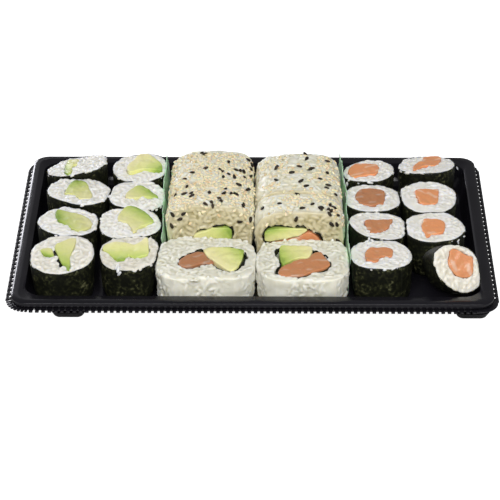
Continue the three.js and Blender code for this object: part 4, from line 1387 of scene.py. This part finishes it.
def scatter_sesame(settings):
    """Black seeds at their own places, and toasted ones in patches, on the inside-out rolls that lie."""
    random = np.random.default_rng(11)
    ground = ground_of([f"uramaki_{number}_rice" for number in range(3, 9)])
    slant = Vector(SLANT).normalized()
    down = Vector((0, 0.25, -1)).normalized()

    def seed(x, y, direction, sink):
        size = random.uniform(0.85, 1.1)
        place = lay(ground, Vector((x, y, SEED_LEVEL)), direction, random.uniform(0, 2 * math.pi),
                    random.uniform(-0.2, 0.2), (size, size, size), sink)
        return place if place is not None and place[1][2, 2] > -0.1 * size else None

    black = [seed(x + random.uniform(-0.3, 0.3), y, slant, 0.3) for x, y in BLACK_SEEDS_LEFT + BLACK_SEEDS_RIGHT]
    black = [place for place in black if place is not None]
    add_seeds("black_sesame", "Black sesame", settings.black_length, black, random)

    toasted, taken = [], [place[0] for place in black]
    spacing = settings.spacing / MM
    tries = [
        (random.uniform(*across), random.uniform(*along), left)
        for across, along, left, count in TOASTED_FIELDS for _ in range(count)
    ]
    for x, y, left in tries:
        if random.random() > toasted_share(x, y, left):
            continue
        place = seed(x, y, down, 0.05)
        if place is None or any(np.sum((place[0] - o) ** 2) < spacing**2 for o in taken):
            continue
        taken.append(place[0])
        toasted.append(place)
    add_seeds("toasted_sesame", "Toasted sesame", settings.seed_length, toasted, random)


def scatter_loose_rice(settings):
    """Single grains that fell beside the thin rolls."""
    random = np.random.default_rng(5)
    names = [obj.name for obj in bpy.data.objects if "_maki_" in obj.name and obj.name.endswith(("_rice", "_nori"))]
    ground = ground_of(names + ["tray_shell"])
    slant = Vector(SLANT).normalized()
    places = []
    for x, y, heading in LOOSE_GRAINS:
        size = random.uniform(0.3, 0.42) if x > 90 else random.uniform(0.55, 0.8)
        places.append(lay(ground, Vector((x, y, LOOSE_LEVEL)), slant, math.radians(heading), 0.0,
                          (size, size, size), 0.35))
    places = [place for place in places if place is not None]
    obj = object_from_arrays("loose_rice", *copies(*grain_model(settings), places))
    set_values(obj, "tone_and_shade", np.ones(len(obj.data.vertices)))
    set_crease_shade(obj)
    finish_piece(obj, "Rice", "sushi_rice")


# ---- Stage --------------------------------------------------------------------------------------
def area_light(name, place, size, power, colour):
    deselect()
    bpy.ops.object.light_add(type="AREA", location=place)
    lamp = bpy.context.active_object
    lamp.name = name
    lamp.data.shape = "RECTANGLE"
    lamp.data.size, lamp.data.size_y = size
    lamp.data.energy = power
    lamp.data.color = colour
    lamp.rotation_euler = (Vector((0, 0, CAMERA_AIM)) - Vector(place)).to_track_quat("-Z", "Y").to_euler()


def build_stage():
    deselect()
    bpy.ops.mesh.primitive_plane_add(size=8, location=(0, 0, 0))
    floor = bpy.context.active_object
    floor.name = "floor"
    floor.data.materials.append(bpy.data.materials["Floor"])
    world = bpy.data.worlds.new("Studio")
    world.use_nodes = True
    background = world.node_tree.nodes["Background"].inputs
    background["Color"].default_value = (1, 1, 1, 1)
    background["Strength"].default_value = 0.2
    bpy.context.scene.world = world
    for light in LIGHTS:
        area_light(*light)
    bpy.context.scene.view_settings.view_transform = "Standard"
    deselect()
    pitch, yaw = math.radians(CAMERA_PITCH), math.radians(CAMERA_YAW)
    back = Vector((math.sin(yaw) * math.cos(pitch), -math.cos(yaw) * math.cos(pitch), math.sin(pitch)))
    bpy.ops.object.camera_add(location=Vector((0, 0, CAMERA_AIM)) + back * CAMERA_DISTANCE)
    camera = bpy.context.active_object
    camera.rotation_euler = (-back).to_track_quat("-Z", "Y").to_euler()
    camera.data.sensor_width = CAMERA_SENSOR
    camera.data.lens = CAMERA_FOCAL * CAMERA_SENSOR
    camera.data.shift_x, camera.data.shift_y = CAMERA_SHIFT
    camera.data.clip_start, camera.data.clip_end = 0.01, 20
    bpy.context.scene.camera = camera


# ---- Operators ----------------------------------------------------------------------------------
class SUSHI_OT_materials(bpy.types.Operator):
    """Make the materials of every piece"""

    bl_idname = "sushi.materials"
    bl_label = "Materials"

    def execute(self, context):
        make_materials(context.scene)
        return {"FINISHED"}


class SUSHI_OT_tray(bpy.types.Operator):
    """Build the formed tray and its toothed edge"""

    bl_idname = "sushi.tray"
    bl_label = "Tray"

    def execute(self, context):
        add_tray(context.scene.sushi_tray)
        add_teeth()
        return {"FINISHED"}


class SUSHI_OT_films(bpy.types.Operator):
    """Build the two strips of grass film"""

    bl_idname = "sushi.films"
    bl_label = "Grass film"

    def execute(self, context):
        for name in FILMS:
            add_film(name)
        return {"FINISHED"}


class SUSHI_OT_thin_rolls(bpy.types.Operator):
    """Build the avocado and salmon rolls wrapped in nori"""

    bl_idname = "sushi.thin_rolls"
    bl_label = "Thin rolls"

    def execute(self, context):
        settings = context.scene.sushi_rice
        names = [f"{kind}_maki_{k}" for kind in ("avocado", "salmon") for k in range(1, 9)]
        for index, node in enumerate(names):
            roll = roll_of(node)
            holes = [rounded(outline) for _, outline, _, _ in FILLINGS[node]]
            add_rice(roll, holes, settings, "Rice", True)
            add_nori_wrap(roll, np.random.default_rng(100 + index).uniform(0, 6.28))
            for number, (kind, outline, heading, proud) in enumerate(FILLINGS[node]):
                add_filling(roll, number, kind, outline, heading, proud)
        return {"FINISHED"}


class SUSHI_OT_inside_out_rolls(bpy.types.Operator):
    """Build the inside-out rolls"""

    bl_idname = "sushi.inside_out_rolls"
    bl_label = "Inside-out rolls"

    def execute(self, context):
        settings = context.scene.sushi_rice
        for index in range(1, 9):
            node = f"uramaki_{index}"
            roll = roll_of(node)
            line, shown = core_line(roll, [rounded(f[1]) for f in FILLINGS[node]], NORI_GAPS.get(node, []))
            material = "Warm rice" if node in MIDDLES else "Golden rice"
            add_rice(roll, [grown(line, 0.3)], settings, material, False)
            add_nori_core(roll, line, shown)
            for kind, outline, heading, proud in FILLINGS[node]:
                add_filling(roll, 0, kind, outline, heading, proud)
        return {"FINISHED"}


class SUSHI_OT_sesame(bpy.types.Operator):
    """Scatter the sesame and the loose grains of rice"""

    bl_idname = "sushi.sesame"
    bl_label = "Sesame"

    def execute(self, context):
        scatter_sesame(context.scene.sushi_sesame)
        scatter_loose_rice(context.scene.sushi_rice)
        return {"FINISHED"}


class SUSHI_OT_stage(bpy.types.Operator):
    """Set up the floor, the lights and the camera"""

    bl_idname = "sushi.stage"
    bl_label = "Stage"

    def execute(self, context):
        build_stage()
        return {"FINISHED"}


class SUSHI_PT_panel(bpy.types.Panel):
    """Everything that builds the tray, in order"""

    bl_idname = "SUSHI_PT_panel"
    bl_label = "Sushi tray"
    bl_space_type = "VIEW_3D"
    bl_region_type = "UI"
    bl_category = "Sushi"

    def draw(self, context):
        for operator in OPERATORS:
            self.layout.operator(operator.bl_idname)
        for name in SETTINGS:
            group = getattr(context.scene, name)
            for key in group.__annotations__:
                self.layout.prop(group, key)


OPERATORS = (
    SUSHI_OT_materials, SUSHI_OT_tray, SUSHI_OT_films, SUSHI_OT_thin_rolls, SUSHI_OT_inside_out_rolls,
    SUSHI_OT_sesame, SUSHI_OT_stage,
)
SETTINGS = {
    "sushi_tray": SushiTraySettings,
    "sushi_rice": SushiRiceSettings,
    "sushi_filling": SushiFillingSettings,
    "sushi_sesame": SushiSesameSettings,
    "sushi_stage": SushiStageSettings,
}


def register():
    for cls in (*SETTINGS.values(), *OPERATORS, SUSHI_PT_panel):
        bpy.utils.register_class(cls)
    for name, cls in SETTINGS.items():
        setattr(bpy.types.Scene, name, bpy.props.PointerProperty(type=cls))


def unregister():
    for name in SETTINGS:
        delattr(bpy.types.Scene, name)
    for cls in (SUSHI_PT_panel, *reversed(OPERATORS), *reversed(SETTINGS.values())):
        bpy.utils.unregister_class(cls)


def main():
    register()
    bpy.ops.sushi.materials()
    bpy.ops.sushi.tray()
    bpy.ops.sushi.films()
    bpy.ops.sushi.thin_rolls()
    bpy.ops.sushi.inside_out_rolls()
    bpy.ops.sushi.sesame()
    bpy.ops.sushi.stage()
    deselect()


if __name__ == "__main__":
    main()
